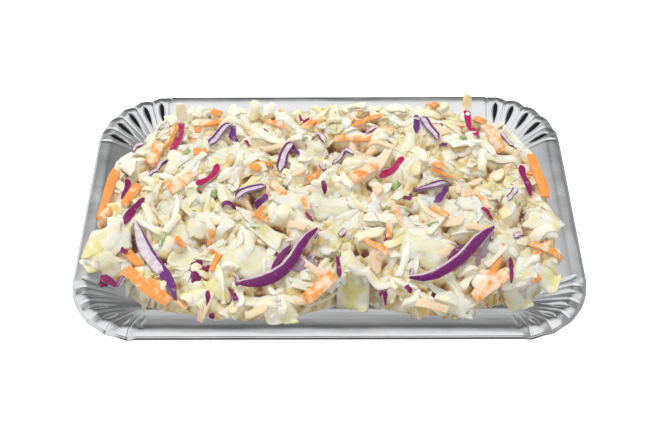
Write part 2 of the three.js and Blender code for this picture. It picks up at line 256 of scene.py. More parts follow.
def new_material(name):
    """A material with one principled shader, and the two calls that add and join its nodes."""
    material = bpy.data.materials.new(name)
    material.use_nodes = True
    tree = material.node_tree
    return material, tree.nodes["Principled BSDF"], node_maker(tree), tree.links.new


def ramp(node, factor, stops):
    """A colour ramp read at factor. Each stop is a place and a colour or a grey."""
    made = node("ShaderNodeValToRGB", {"Fac": factor})
    marks = made.color_ramp.elements
    while len(marks) < len(stops):
        marks.new(0.5)
    for mark, (position, colour) in zip(marks, stops):
        grey = isinstance(colour, (int, float))
        mark.position = position
        mark.color = (colour, colour, colour, 1) if grey else (*colour, 1)
    return made.outputs["Color"]


def mixed(node, share, first, second):
    """Two colours mixed by a share. Either may be a socket or three numbers."""
    first, second = (c if isinstance(c, bpy.types.NodeSocket) else (*c, 1) for c in (first, second))
    return node("ShaderNodeMix", {0: share, 6: first, 7: second}, data_type="RGBA").outputs[2]


def foil_material():
    """Bright rolled foil: a cloudy roughness, and a low bump of crinkles over finer rolling lines. Deep
    in a pocket its colour is painted near black, as painted shade for the dark recess of the fold."""
    material, gloss, node, join = new_material("bright_foil")
    where = node("ShaderNodeTexCoord").outputs["Object"]
    clouds = node("ShaderNodeTexNoise", {"Vector": where, "Scale": 55.0, "Detail": 3.0}).outputs["Fac"]
    crinkle = node("ShaderNodeTexNoise", {"Vector": where, "Scale": 90.0, "Detail": 3.0, "Distortion": 0.6})
    stretch = node("ShaderNodeMapping", {"Vector": where, "Scale": (60.0, 2600.0, 2600.0)})
    lines = node("ShaderNodeTexNoise", {"Vector": stretch.outputs["Vector"], "Scale": 1.0, "Detail": 2.0})
    deep = node("ShaderNodeAttribute", attribute_name="deep").outputs["Fac"]
    bright = ramp(node, clouds, [(0.3, (0.80, 0.81, 0.82)), (0.7, (0.88, 0.88, 0.89))])
    # painted shade: deep in a pocket the base colour is mixed to near black
    join(mixed(node, ramp(node, deep, [(0.5, 0.0), (0.68, 1.0)]), bright, (0.02, 0.02, 0.02)), gloss.inputs["Base Color"])
    join(ramp(node, clouds, [(0.3, 0.16), (0.7, 0.27)]), gloss.inputs["Roughness"])
    low = node("ShaderNodeBump", {"Height": crinkle.outputs["Fac"], "Strength": 0.35, "Distance": 0.0004})
    fine = node("ShaderNodeBump", {
        "Height": lines.outputs["Fac"], "Normal": low.outputs["Normal"], "Strength": 0.1, "Distance": 0.0002,
    })
    join(fine.outputs["Normal"], gloss.inputs["Normal"])
    gloss.inputs["Metallic"].default_value = 1.0
    return material


foil_grid, foil_pockets_and_painted_shade = foil_points()
foil_quads = band_quads(foil_grid.shape[0], foil_grid.shape[1])
platter = make_piece(
    "foil_platter", foil_grid.reshape(-1, 3), foil_quads, foil_material(), {"deep": foil_pockets_and_painted_shade},
    closed_by_merging=True,
)
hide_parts("platter")

# ------------------------------------------------------------------ form of the heap
# The salad is heaped from rim to rim in four low lobes, and is drawn back at the middle of the front.
# Pieces fall on it one after another, and each lies on what is already there: level holds the height of
# the heap so far on a grid, and a laid piece raises it.
HEAP_LENGTH, HEAP_WIDTH = 292.0, 193.0
HEAP_LEFT_CORNER, HEAP_RIGHT_CORNER, HEAP_BACK_CORNER = 84.0, 34.0, 78.0
EDGE_HEIGHT, RISE, SHOULDER = 20.0, 20.0, 62.0
SKIRT, SKIRT_SLOPE, LEAST_DEPTH = 3.0, 2.2, 2.0
LOBE, LUMP = 2.5, 1.8
NOTCH_X, NOTCH_HALF_WIDTH, NOTCH_DEPTH = 17.0, 26.0, 28.0
FRONT_STEP_FROM, FRONT_STEP_TO, FRONT_STEP_DEPTH = 60.0, 125.0, 25.0
BACK_DIP, BACK_DIP_X, BACK_DIP_HALF_WIDTH = 6.5, -25.0, 55.0
DIP_GROWS_OVER, DIP_ENDS_OVER = 50.0, 8.0
FOIL_CLEARANCE = 0.5
EDGE_OVERHANG = 2.5
UNDER_THE_PIECES = 7.5
GRID_STEP = 1.0


def reach_at(x, y):
    """What share of its full reach the heap's outline has: one behind the middle, and less in front, where
    the edge is set back by a bell curve and, on the right, by a smooth step."""
    share = np.clip((x - FRONT_STEP_FROM) / (FRONT_STEP_TO - FRONT_STEP_FROM), 0, 1)
    set_back = NOTCH_DEPTH * np.exp(-(((x - NOTCH_X) / NOTCH_HALF_WIDTH) ** 2))
    set_back = set_back + FRONT_STEP_DEPTH * share**2 * (3 - 2 * share)
    return np.where(y < 0, 1 - set_back / (HEAP_WIDTH / 2), 1.0)


def heap_depth(x, y):
    """Distance in from the heap's outline, measured where the front is not yet set back. Three corners
    are broadly rounded, and the right one in front is tight."""
    corner = np.where(y > 0, HEAP_BACK_CORNER, np.where(x < 0, HEAP_LEFT_CORNER, HEAP_RIGHT_CORNER))
    return inside_rounded_rectangle(x, y / reach_at(x, y), HEAP_LENGTH / 2, HEAP_WIDTH / 2, corner)


def heap_top(x, y):
    """Height of the heap: a dome that levels off in from the edge and sinks by a bell curve at the back,
    with cosine lobes and sine lumps, kept under a skirt that leans in from the foil."""
    depth = np.maximum(heap_depth(x, y), 0)
    to_top = 1 - np.clip(depth / SHOULDER, 0, 1)
    dome = EDGE_HEIGHT + RISE * (1 - to_top**2)
    lobes = LOBE * np.cos(x / 22.3) * np.cos(y / 17.5)
    lumps = LUMP * (np.sin(x / 9 + 1.3) * np.sin(y / 8 + 0.7) + 0.7 * np.sin((x + y) / 13 + 2))
    dip = BACK_DIP * np.exp(-(((x - BACK_DIP_X) / BACK_DIP_HALF_WIDTH) ** 2))
    dip = dip * np.clip(y / DIP_GROWS_OVER, 0, 1) * np.clip(depth / DIP_ENDS_OVER, 0, 1)
    under = platter_top(x, y)
    skirt = under + SKIRT + SKIRT_SLOPE * depth
    top = dome - dip + (lobes + lumps) * np.clip(depth / 20, 0, 1)
    return np.maximum(np.minimum(top, skirt), under + LEAST_DEPTH)


grid_x = np.arange(-164.0, 164.5, GRID_STEP)
grid_y = np.arange(-113.0, 113.5, GRID_STEP)
over_x, over_y = np.meshgrid(grid_x, grid_y)
over_depth = heap_depth(over_x, over_y)
over_foil = platter_top(over_x, over_y) + FOIL_CLEARANCE
level = heap_top(over_x, over_y) - UNDER_THE_PIECES * np.clip((over_depth - 5) / 14, 0, 1)
level = np.maximum(np.where(over_depth > 0, level, 0), over_foil)
shown = np.zeros_like(level, bool)
draw = np.random.default_rng(11)


def cells(x, y):
    """Row and column of the grid cell under each point."""
    row = np.clip(np.rint((y - grid_y[0]) / GRID_STEP).astype(int), 0, len(grid_y) - 1)
    column = np.clip(np.rint((x - grid_x[0]) / GRID_STEP).astype(int), 0, len(grid_x) - 1)
    return row, column


def read(field, x, y):
    """A field of numbers read between its grid points, by straight interpolation both ways."""
    across = np.clip((x - grid_x[0]) / GRID_STEP, 0, len(grid_x) - 1.001)
    along = np.clip((y - grid_y[0]) / GRID_STEP, 0, len(grid_y) - 1.001)
    column, row = across.astype(int), along.astype(int)
    across, along = across - column, along - row
    near = field[row, column] * (1 - across) + field[row, column + 1] * across
    far = field[row + 1, column] * (1 - across) + field[row + 1, column + 1] * across
    return near * (1 - along) + far * along


def blurred(field, times):
    """A field of numbers averaged with its neighbours both ways, again and again. The border stays."""
    field = field.copy()
    for _ in range(times):
        field[1:-1] = (field[:-2] + 2 * field[1:-1] + field[2:]) / 4
        field[:, 1:-1] = (field[:, :-2] + 2 * field[:, 1:-1] + field[:, 2:]) / 4
    return field


def eased(line, times):
    """A line of numbers averaged with its neighbours, its ends carried on straight."""
    for _ in range(times):
        ends = np.concatenate([[2 * line[0] - line[1]], line, [2 * line[-1] - line[-2]]])
        line = (ends[:-2] + 2 * line + ends[2:]) / 4
    return line


def raise_level(x, y, z, keep=False):
    """Lifts the heap so far to z at the given points, and marks them as shown if they are to stay in sight."""
    row, column = cells(x, y)
    np.maximum.at(level, (row, column), z)
    if keep:
        shown[row, column] = True


def does_not_fit(x, y, dodge):
    """Whether a piece over these points would lie too far out over the heap's edge or, if it has to dodge,
    cover more than a little of the shown pieces. Only in front may pieces reach out over the edge."""
    least = np.where(y < 0, -EDGE_OVERHANG, 0.5)
    return (heap_depth(x, y) < least).any() or (dodge and shown[cells(x, y)].mean() > 0.06)


def seen_at(pixels):
    """Where the lines of sight through points of the picture first meet the heap so far, in plan. Each
    line is followed down from above the heap until it is below the smoothed level."""
    offsets = np.asarray(pixels, float) - (PICTURE_WIDTH / 2, PICTURE_HEIGHT / 2)
    sight = offsets[:, :1] * right - offsets[:, 1:] * up - FOCAL_PIXELS * back
    start = eye_place[:3, 3] / MILLIMETRE
    heights = np.arange(62.0, 0.0, -0.25)
    reach = (heights - start[2]) / sight[:, 2:]
    met = start + sight[:, None] * reach[..., None]
    ground = blurred(level, 8)[cells(met[..., 0], met[..., 1])] + 1.0
    first = np.argmax(ground >= heights, axis=1)
    return met[np.arange(len(met)), first, :2]


# ------------------------------------------------------------------ cabbage shreds and ribs
# White cabbage cut across the head: shreds are flat slices of the curved leaves, and ribs are short
# blocks of the thick stalks. Each is a strip, a section carried along a spine.
STATIONS = 9
SHREDS = dict(length=(13, 34), width=(3.5, 7.0), thickness=(1.0, 1.8), bow=3.5, roll=0.35, twist=0.35, arch=0.7,
              lift=1.6, stiffness=8)
RIBS = dict(length=(9, 24), width=(4.5, 9.5), thickness=(2.0, 3.8), bow=1.5, roll=0.35, twist=0.15, arch=0.9,
            lift=0.8, stiffness=25)
# corners of the section: across and above, each as a share of the half width and half thickness
SLICE_SECTION = np.array([(1, 0.35), (0.45, 1.0), (-0.45, 1.0), (-1, 0.35), (-0.85, -1.0), (0.85, -1.0)])


def lay_strip(path, width, thickness, roll, stiffness=6, sink=0.5, lift=(0.0, 0.0), keep=False, dodge=False):
    """Lays a strip along a path in plan and returns its spine, or nothing if it does not fit there.
    Where the heap dips the strip bridges it: its height is the ground's, raised again and again to the
    average of its neighbours. Its ends may lift."""
    way = np.gradient(path, axis=0)
    way /= np.linalg.norm(way, axis=1)[:, None]
    aside = np.stack([-way[:, 1], way[:, 0]], axis=1)
    flat = (width * np.abs(np.cos(roll)) + thickness * np.abs(np.sin(roll))) / 2
    spread = path[None] + aside[None] * (np.linspace(-1, 1, 5)[:, None] * flat)[..., None]
    if not keep and does_not_fit(spread[..., 0], spread[..., 1], dodge):
        return None
    ground = level[cells(spread[..., 0], spread[..., 1])]
    ground = 0.6 * ground.max(0) + 0.4 * ground.mean(0)
    z = ground
    for _ in range(stiffness):
        z = np.maximum(ground, eased(z, 1))
    share = np.linspace(-1, 1, len(path))
    z = eased(z, 1) + lift[0] * np.clip(-share, 0, 1) ** 2 + lift[1] * np.clip(share, 0, 1) ** 2
    half_height = (thickness * np.abs(np.cos(roll)) + width * np.abs(np.sin(roll))) / 2
    spine = np.concatenate([path, (z + half_height - sink)[:, None]], axis=1)
    fine = np.linspace(0, len(path) - 1, 5 * len(path))
    steps = np.arange(len(path))
    x, y = ([np.interp(fine, steps, line) for line in spread[..., k]] for k in (0, 1))
    top = np.interp(fine, steps, spine[:, 2] + 0.6 * half_height)
    raise_level(np.array(x), np.array(y), np.broadcast_to(top, (5, len(fine))), keep)
    return spine


def bowed_path(x, y, heading, length, bow, stations):
    """A path in plan round its middle: straight along its heading, with a parabola's bow to one side."""
    share = np.linspace(-1, 1, stations)
    along, aside = share * length / 2, bow * (0.5 - share**2)
    cos, sin = math.cos(heading), math.sin(heading)
    return np.stack([x + along * cos - aside * sin, y + along * sin + aside * cos], axis=1)


def ends_drawn_in(stations, least, full_over=0.7):
    """Widths along a strip as shares: full over its middle, and drawn in by the square over the rest."""
    share = np.abs(np.linspace(-1, 1, stations))
    return 1 - (1 - least) * np.clip((share - full_over) / (1 - full_over), 0, 1) ** 2


def random_strip(x, y, length, width, thickness, bow, roll, twist, arch, lift, stiffness, scale=1.0, **how):
    """One strip with a random heading. Sizes are low and high limits; bow, roll, twist and arch are
    spreads. Both ends are cut on a slant."""
    size = draw.uniform(*length) * scale
    path = bowed_path(x, y, draw.uniform(0, math.pi), size, draw.normal(0, bow) * size / 30, STATIONS)
    share = np.linspace(-1, 1, STATIONS)
    rolls = draw.normal(0, roll) + draw.normal(0, twist) * share
    wavering = 1 + 0.15 * np.sin(share * draw.uniform(2, 5) + draw.uniform(0, 6))
    widths = draw.uniform(*width) * ends_drawn_in(STATIONS, draw.uniform(0.5, 1)) * wavering
    thicknesses = draw.uniform(*thickness) * ends_drawn_in(STATIONS, 0.7)
    spine = lay_strip(path, widths, thicknesses, rolls, stiffness, lift=draw.uniform(0, lift, 2), **how)
    shape = dict(spine=spine, widths=widths, thicknesses=thicknesses, rolls=rolls,
                 arch=draw.normal(0, arch), slant=draw.normal(0, 0.35), tone=draw.uniform())
    return None if spine is None else shape


def strip_points(strips, section):
    """Points of many strips at once. The section is carried along each spine on the spine's own axes:
    along, across in the horizontal turned by the roll, and upright. Its middle is raised by the arch,
    and its ends are sheared by the slant."""
    spines, widths, thicknesses, rolls = (
        np.stack([s[key] for s in strips]) for key in ("spine", "widths", "thicknesses", "rolls")
    )
    arches, slants = (np.array([s[key] for s in strips])[:, None, None, None] for key in ("arch", "slant"))
    along = np.gradient(spines, axis=1)
    along /= np.linalg.norm(along, axis=-1, keepdims=True)
    flat = np.cross(np.array([0.0, 0.0, 1.0]), along)
    flat /= np.linalg.norm(flat, axis=-1, keepdims=True)
    upright = np.cross(along, flat)
    cos, sin = np.cos(rolls)[..., None], np.sin(rolls)[..., None]
    across, above = flat * cos + upright * sin, upright * cos - flat * sin
    side = (widths[..., None] * section[:, 0] / 2)[..., None]
    rise = (thicknesses[..., None] * section[:, 1] / 2)[..., None]
    rise = rise + arches * (1 - section[:, 0] ** 2)[:, None] * (widths / widths.max())[..., None, None]
    at_ends = np.zeros((1, spines.shape[1], 1, 1))
    at_ends[:, [0, -1]] = 1
    shear = side * slants * at_ends
    return spines[:, :, None] + across[:, :, None] * side + above[:, :, None] * rise + along[:, :, None] * shear


def strip_quads(pieces, stations, corners):
    """Faces of many closed strips: bands round each, and faces that join opposite corners over its ends."""
    last = (stations - 1) * corners
    pairs = np.arange(corners // 2 - 1)
    start = np.stack([pairs, (-pairs - 1) % corners, corners - 2 - pairs, pairs + 1], axis=-1)
    end = start[:, ::-1] + last
    one = np.concatenate([band_quads(stations, corners), start, end])
    return (one[None] + (np.arange(pieces) * stations * corners)[:, None, None]).reshape(-1, 4)


def make_strips(name, strips, section, material, values=None, crisp_over=None):
    """One joined piece of many strips. Each point knows its strip's tone, and how far along and across
    the strip it is."""
    points = strip_points(strips, section)
    count, stations, corners = points.shape[:3]
    reach = np.linspace(0, 1, stations)[None, :, None] * 25 * np.ones((count, 1, corners))
    across = section[:, 0] * np.stack([s["widths"] for s in strips])[..., None] / 2
    tones = np.repeat([s["tone"] for s in strips], stations * corners)
    # the crest, a point's height above the smoothed heap, drives painted light and shade in the material
    crest = points[..., 2] - read(around, points[..., 0], points[..., 1])
    values = {"tone": tones, "along": reach, "across": across, "crest": crest, **(values or {})}
    quads = strip_quads(count, stations, corners)
    return make_piece(name, points.reshape(-1, 3), quads, material, values, crisp_over=crisp_over)


def cabbage_material():
    """Cabbage in dressing: ivory rib to yellow-green leaf from piece to piece, with veins along it, and
    cream where the film is thick. Points high above the heap around them are painted paler and ivory,
    and low ones darker and browner, as painted light and shade. The flesh lets light in, and the film is
    glossy and slightly uneven."""
    material, gloss, node, join = new_material("dressed_cabbage")
    where = node("ShaderNodeTexCoord").outputs["Object"]
    tone, along, across, crest = (
        node("ShaderNodeAttribute", attribute_name=label).outputs["Fac"]
        for label in ("tone", "along", "across", "crest")
    )
    # painted light and shade: the crest makes high points paler and low points darker and browner
    painted_height_shade = node("ShaderNodeMath", {0: crest, 1: 0.11, 2: -0.1}, operation="MULTIPLY_ADD").outputs[0]
    tone_with_painted_shade = node("ShaderNodeMath", {0: tone, 1: painted_height_shade}, operation="ADD", use_clamp=True).outputs[0]
    apart = node("ShaderNodeMath", {0: tone, 1: 70.0}, operation="MULTIPLY").outputs[0]
    slow = node("ShaderNodeMath", {0: along, 1: 0.12}, operation="MULTIPLY").outputs[0]
    fibre = node("ShaderNodeCombineXYZ", {"X": slow, "Y": across, "Z": apart}).outputs[0]
    veins = node("ShaderNodeTexNoise", {"Vector": fibre, "Scale": 0.9, "Detail": 2.0}).outputs["Fac"]
    film = node("ShaderNodeTexNoise", {"Vector": where, "Scale": 130.0, "Detail": 2.0}).outputs["Fac"]
    grain = node("ShaderNodeTexNoise", {"Vector": where, "Scale": 520.0, "Detail": 2.0}).outputs["Fac"]
    flesh = ramp(node, tone_with_painted_shade, [
        (0.0, (0.72, 0.48, 0.20)), (0.12, (0.88, 0.75, 0.43)), (0.35, (0.93, 0.85, 0.59)),
        (0.65, (0.94, 0.88, 0.71)), (1.0, (0.95, 0.92, 0.81)),
    ])
    heart = node("ShaderNodeTexNoise", {"Vector": where, "Scale": 42.0, "Detail": 1.0}).outputs["Fac"]
    yellowed = mixed(node, ramp(node, heart, [(0.54, 0.0), (0.66, 0.6)]), flesh, (0.84, 0.73, 0.26))
    veined = mixed(node, ramp(node, veins, [(0.42, 0.0), (0.66, 0.3)]), yellowed, (0.82, 0.70, 0.38))
    coated = mixed(node, ramp(node, film, [(0.44, 0.0), (0.6, 0.8)]), veined, (0.95, 0.93, 0.82))
    join(coated, gloss.inputs["Base Color"])
    join(ramp(node, film, [(0.4, 0.45), (0.62, 0.24)]), gloss.inputs["Roughness"])
    ribbed = node("ShaderNodeBump", {"Height": veins, "Strength": 0.2, "Distance": 0.0008})
    wet = node("ShaderNodeBump", {"Height": film, "Normal": ribbed.outputs["Normal"], "Strength": 0.6, "Distance": 0.0014})
    fine = node("ShaderNodeBump", {"Height": grain, "Normal": wet.outputs["Normal"], "Strength": 0.3, "Distance": 0.0005})
    join(fine.outputs["Normal"], gloss.inputs["Normal"])
    gloss.inputs["Subsurface Weight"].default_value = 0.5
    gloss.inputs["Subsurface Radius"].default_value = (1.0, 0.72, 0.38)
    gloss.inputs["Subsurface Scale"].default_value = 0.004
    return material


cabbage = cabbage_material()

# ------------------------------------------------------------------ cabbage leaves
# Flat cuts of white cabbage leaf: four-sided chips with blunt corners, curled, folded or frilled, from
# the size of a fingernail up to a few large pieces that cap the heap.
LEAF_GRID = (13, 10)
CHIP_GRID = (7, 5)
CRUMB_GRID = (5, 4)
LEAF_THICKNESS, CHIP_THICKNESS = 1.1, 1.2
LEAVES = dict(length=(17, 30), width=(13, 21), grid=LEAF_GRID)
CHIPS = dict(length=(9, 20), width=(7, 14), grid=CHIP_GRID)
CRUMBS = dict(length=(3.5, 8), width=(2.5, 5.5), grid=CRUMB_GRID)
# centre in the picture, length and width, heading in degrees, curl, fold, lift, and tone up to ivory
LARGE_LEAVES = [
    ((108, 244), 34, 22, 8, 1.2, 0.0, 1.4, 0.34),
    ((177, 238), 21, 17, 20, 1.0, 1.5, 0.8, 0.55),
    ((199, 222), 20, 17, 70, 1.5, 0.0, 0.6, 0.45),
    ((185, 262), 17, 16, 50, -1.5, 0.0, 0.6, 0.55),
    ((251, 263), 35, 22, -18, 2.5, 0.0, 0.8, 0.45),
    ((217, 288), 14, 13, 10, 1.0, 0.0, 0.3, 0.50),
    ((258, 302), 24, 10, -8, 1.0, 0.0, 0.3, 0.50),
    ((428, 246), 32, 27, -28, 3.0, 0.0, 0.8, 0.45),
    ((545, 217), 25, 21, -30, 2.0, 0.0, 0.6, 0.34),
    ((527, 270), 17, 24, -15, 2.0, 1.0, 0.5, 0.60),
    ((353, 276), 21, 24, -10, 2.0, 1.0, 0.5, 0.60),
    ((293, 199), 28, 14, -25, 1.5, 0.0, 0.5, 0.70),
    ((475, 200), 24, 14, -30, 1.5, 0.0, 0.5, 0.70),
    ((330, 205), 24, 18, -10, 2.0, 0.0, 0.5, 0.60),
    ((268, 236), 30, 12, -32, -1.5, 0.0, 0.4, 0.70),
    ((440, 205), 26, 13, -25, 1.5, 0.0, 0.4, 0.70),
    ((225, 157), 26, 15, 28, 2.0, 0.0, 0.5, 0.45),
    ((330, 240), 18, 16, 40, -1.5, 0.0, 0.4, 0.60),
    ((97, 262), 18, 12, 30, 1.5, 0.0, 0.4, 0.30),
    ((111, 270), 18, 12, -30, 1.5, 0.0, 0.4, 0.45),
    ((547, 279), 17, 13, -20, 1.5, 0.0, 0.3, 0.70),
    ((518, 293), 18, 12, 12, 1.5, 0.0, 0.3, 0.85),
    ((280, 309), 20, 11, 6, 1.5, 0.0, 0.3, 0.60),
    ((460, 305), 18, 12, -6, 1.5, 0.0, 0.3, 0.75),
]


def between_samples(count, times):
    """A matrix that spreads a line of samples over a finer line by straight interpolation."""
    fine = np.linspace(0, count - 1, times * count)
    return np.stack([np.interp(fine, np.arange(count), column) for column in np.eye(count)], axis=1)


def lay_leaf(x, y, heading, length, width, curl, fold, frill, grid=CHIP_GRID, blunt=(0.12, 0.42), skew=0.2,
             sink=0.4, rise=0.0, keep=False, dodge=False):
    """Lays a chip of leaf and returns its upper face, or nothing if it does not fit. Its outline is a
    square grid sheared, tapered, rounded a little and made ragged. It lies on the plane that fits the
    heap below and gives way to it in part; it curls down across its width by the square, folds along a
    crease and ruffles towards one edge."""
    columns, rows = grid
    u, v = np.meshgrid(np.linspace(-1, 1, columns), np.linspace(-1, 1, rows))
    round_it = np.arctan2(v, u)
    phase = draw.uniform(0, 6, 6)
    blunt, taper, shear = draw.uniform(*blunt), draw.normal(0, skew), draw.normal(0, skew)
    ragged = 1 + 0.08 * np.sin(2 * round_it + phase[0]) + 0.06 * np.sin(5 * round_it + phase[1])
    ragged += 0.04 * np.sin(9 * round_it + phase[2]) + 0.03 * np.sin(13 * round_it + phase[3])
    along = (u * np.sqrt(1 - blunt * v**2) * ragged + shear * v) * length / 2
    across = v * np.sqrt(1 - blunt * u**2) * ragged * (1 + taper * u) * width / 2
    cos, sin = math.cos(heading), math.sin(heading)
    px, py = x + along * cos - across * sin, y + along * sin + across * cos
    if not keep and does_not_fit(px, py, dodge):
        return None
    ground = level[cells(px, py)]
    terms = np.stack([np.ones(u.size), along.ravel(), across.ravel()], axis=1)
    fit = terms @ np.linalg.lstsq(terms, ground.ravel(), rcond=None)[0]
    plane = fit.reshape(u.shape) + np.quantile(ground.ravel() - fit, 0.7)
    soft = blurred(ground, 2)
    z = 0.62 * plane + 0.38 * soft
    crease = np.abs(v + 0.4 * math.sin(phase[2]) * u)
    waves = frill * np.clip(v + 0.3, 0, 2) ** 1.5 * np.sin(along / 2.2 + phase[3])
    wobble = 0.5 * np.sin(along / 2.6 + phase[4]) * np.sin(across / 2.9 + phase[5])
    wobble += 0.22 * np.sin(along / 1.1 + phase[0]) * np.sin(across / 1.2 + phase[1]) * (columns > 9)
    z = z + curl * (0.4 - v**2 - 0.35 * u**2) - fold * crease + waves + wobble - sink + rise
    z = np.maximum(z, platter_top(px, py) + FOIL_CLEARANCE + CHIP_THICKNESS)
    wide, deep = between_samples(columns, 3), between_samples(rows, 3)
    raise_level(*(deep @ part @ wide.T for part in (px, py, z)), keep)
    return dict(face=np.stack([px, py, z], axis=-1), along=along, across=across, tone=draw.uniform())


def random_leaf(x, y, length, width, scale=1.0, **how):
    """One chip of leaf with a random heading and shape. Most curl a little, some fold and some frill."""
    size = draw.uniform(*length) * scale
    broad = min(draw.uniform(*width) * scale, size)
    curl = draw.normal(1.2, 1.4) * broad / 14
    fold = draw.choice([0.0, 0.0, 1.5, 3.0]) * broad / 14
    frill = draw.choice([0.0, 0.3, 0.5, 0.8]) * broad / 14
    return lay_leaf(x, y, draw.uniform(0, 2 * math.pi), size, broad, curl, fold, frill, **how)


def leaf_points(leaves, thickness):
    """Both faces of many leaves: the upper face, and the same let down by the thickness along its normal."""
    upper = np.stack([leaf["face"] for leaf in leaves])
    du, dv = np.gradient(upper, axis=2), np.gradient(upper, axis=1)
    normal = np.cross(du, dv)
    normal /= np.linalg.norm(normal, axis=-1, keepdims=True)
    return np.stack([upper, upper - normal * thickness], axis=1)


def leaf_quads(pieces, columns, rows):
    """Faces of many closed leaves: the upper grid, the lower grid turned over, and a band round the edge."""
    number = np.arange(columns * rows).reshape(rows, columns)
    upper = np.stack([number[:-1, :-1], number[:-1, 1:], number[1:, 1:], number[1:, :-1]], axis=-1).reshape(-1, 4)
    lower = upper[:, ::-1] + columns * rows
    edge = np.concatenate([number[0], number[1:, -1], number[-1, -2::-1], number[-2:0:-1, 0]])
    after = np.roll(edge, -1)
    rim = np.stack([edge, edge + columns * rows, after + columns * rows, after], axis=-1)
    one = np.concatenate([upper, lower, rim])
    return (one[None] + (np.arange(pieces) * 2 * columns * rows)[:, None, None]).reshape(-1, 4)


def make_leaves(name, leaves, thickness, material, values=None):
    """One joined piece of many leaves, each point with its leaf's tone and its place on the leaf."""
    rows, columns = leaves[0]["along"].shape
    points = leaf_points(leaves, thickness)
    tones = np.repeat([leaf["tone"] for leaf in leaves], 2 * columns * rows)
    along, across = (np.stack([leaf[key] for leaf in leaves])[:, None].repeat(2, 1) for key in ("along", "across"))
    quads = leaf_quads(len(leaves), columns, rows)
    # the crest, a point's height above the smoothed heap, drives painted light and shade in the material
    crest = points[..., 2] - read(around, points[..., 0], points[..., 1])
    values = {"tone": tones, "along": along, "across": across, "crest": crest, **(values or {})}
    return make_piece(name, points.reshape(-1, 3), quads, material, values, crisp_over=100)


# ------------------------------------------------------------------ carrot shreds
# Carrot cut into square-edged sticks, some bare and bright, most under a film of dressing.
CARROTS = dict(length=(10, 26), width=(2.8, 5.5), thickness=(1.6, 2.8), bow=1.2, roll=0.4, twist=0.15, arch=0.1,
               lift=1.0, stiffness=25)
STICK_SECTION = np.array([(1, 0.8), (0.85, 1.0), (-0.85, 1.0), (-1, 0.8), (-1, -1.0), (1, -1.0)])
# points in the picture, width, thickness, and how thick its dressing is
LONG_CARROTS = [
    ([(125, 276), (146, 293), (170, 310)], 7.5, 3.0, 0.1),
    ([(117, 173), (109, 198), (101, 221)], 6.0, 3.0, 0.0),
    ([(139, 187), (131, 198), (124, 207)], 5.5, 3.0, 0.1),
    ([(531, 157), (537, 176), (545, 200)], 6.0, 3.0, 0.0),
    ([(306, 303), (320, 291), (333, 277)], 8.0, 3.5, 0.4),
    ([(475, 300), (490, 289), (506, 277)], 8.5, 3.5, 0.5),
    ([(531, 245), (546, 252), (561, 260)], 4.0, 2.0, 0.3),
    ([(364, 243), (376, 250), (387, 255)], 4.0, 2.0, 0.3),
    ([(160, 146), (156, 156), (150, 166)], 8.0, 3.5, 0.4),
    ([(194, 176), (184, 184), (170, 194)], 7.5, 3.0, 0.5),
    ([(485, 130), (494, 145), (502, 156)], 8.0, 3.5, 0.5),
    ([(376, 166), (364, 175), (352, 183)], 7.0, 3.0, 0.4),
    ([(112, 211), (106, 219), (101, 229)], 5.0, 2.5, 0.4),
    ([(267, 121), (275, 126), (284, 130)], 3.5, 2.0, 0.4),
    ([(265, 151), (275, 150), (284, 148)], 3.5, 2.0, 0.8),
    ([(308, 182), (316, 178), (323, 173)], 4.5, 2.5, 0.2),
    ([(303, 197), (306, 204), (308, 211)], 4.0, 2.0, 0.6),
    ([(253, 215), (260, 219), (267, 222)], 4.0, 2.0, 0.3),
    ([(289, 226), (298, 228), (306, 231)], 4.5, 2.0, 0.7),
    ([(246, 319), (257, 316), (267, 312)], 4.5, 2.0, 0.8),
    ([(213, 233), (212, 240), (210, 246)], 4.0, 2.0, 0.3),
    ([(354, 126), (368, 122), (382, 118)], 3.0, 2.0, 0.3),
    ([(335, 142), (352, 140), (370, 140)], 4.5, 2.0, 0.4),
    ([(370, 145), (382, 146), (394, 149)], 3.0, 2.0, 0.7),
    ([(481, 197), (485, 204), (488, 211)], 4.0, 2.0, 0.6),
    ([(433, 209), (440, 213), (447, 218)], 4.0, 2.0, 0.3),
    ([(390, 222), (389, 230), (389, 238)], 4.0, 2.0, 0.4),
    ([(466, 228), (476, 229), (485, 231)], 4.5, 2.0, 0.8),
    ([(416, 310), (431, 310), (447, 312)], 4.5, 2.0, 0.8),
    ([(474, 121), (478, 122), (484, 125)], 4.0, 2.5, 0.2),
    ([(213, 114), (217, 115), (221, 116)], 4.0, 2.5, 0.1),
    ([(251, 168), (255, 170), (260, 172)], 4.0, 2.5, 0.2),
    ([(428, 106), (432, 107), (437, 108)], 4.0, 2.5, 0.2),
    ([(434, 165), (438, 167), (443, 169)], 4.0, 2.5, 0.2),
    ([(176, 243), (180, 245), (185, 248)], 4.0, 2.5, 0.2),
]


def path_through(points, stations, easing=1):
    """A smooth path through a few points in plan: resampled evenly, then eased."""
    points = np.asarray(points, float)
    reach = np.concatenate([[0], np.cumsum(np.linalg.norm(np.diff(points, axis=0), axis=1))])
    at = np.linspace(0, reach[-1], stations)
    return np.stack([eased(np.interp(at, reach, points[:, k]), easing) for k in (0, 1)], axis=1)


def placed_strip(pixels, width, thickness, tone, lean=0.5, drawn_in=0.7, waves=0.0, arch=0.0, full_over=0.7, **how):
    """One strip laid where the picture's points meet the heap. It leans towards the viewer by as much as
    it runs along the platter, and its lean and width waver along it."""
    path = path_through(seen_at(pixels), STATIONS)
    way = np.gradient(path, axis=0)
    turn = np.linspace(0, 5, STATIONS) + draw.uniform(0, 6)
    rolls = lean * way[:, 0] / np.linalg.norm(way, axis=1) + waves * np.sin(turn)
    widths = width * ends_drawn_in(STATIONS, drawn_in, full_over) * (1 + 0.6 * waves * np.sin(1.3 * turn + 1))
    thicknesses = np.full(STATIONS, thickness)
    spine = lay_strip(path, widths, thicknesses, rolls, sink=0.1, keep=True, **how)
    return dict(spine=spine, widths=widths, thicknesses=thicknesses, rolls=rolls, arch=arch, slant=0.2, tone=tone)


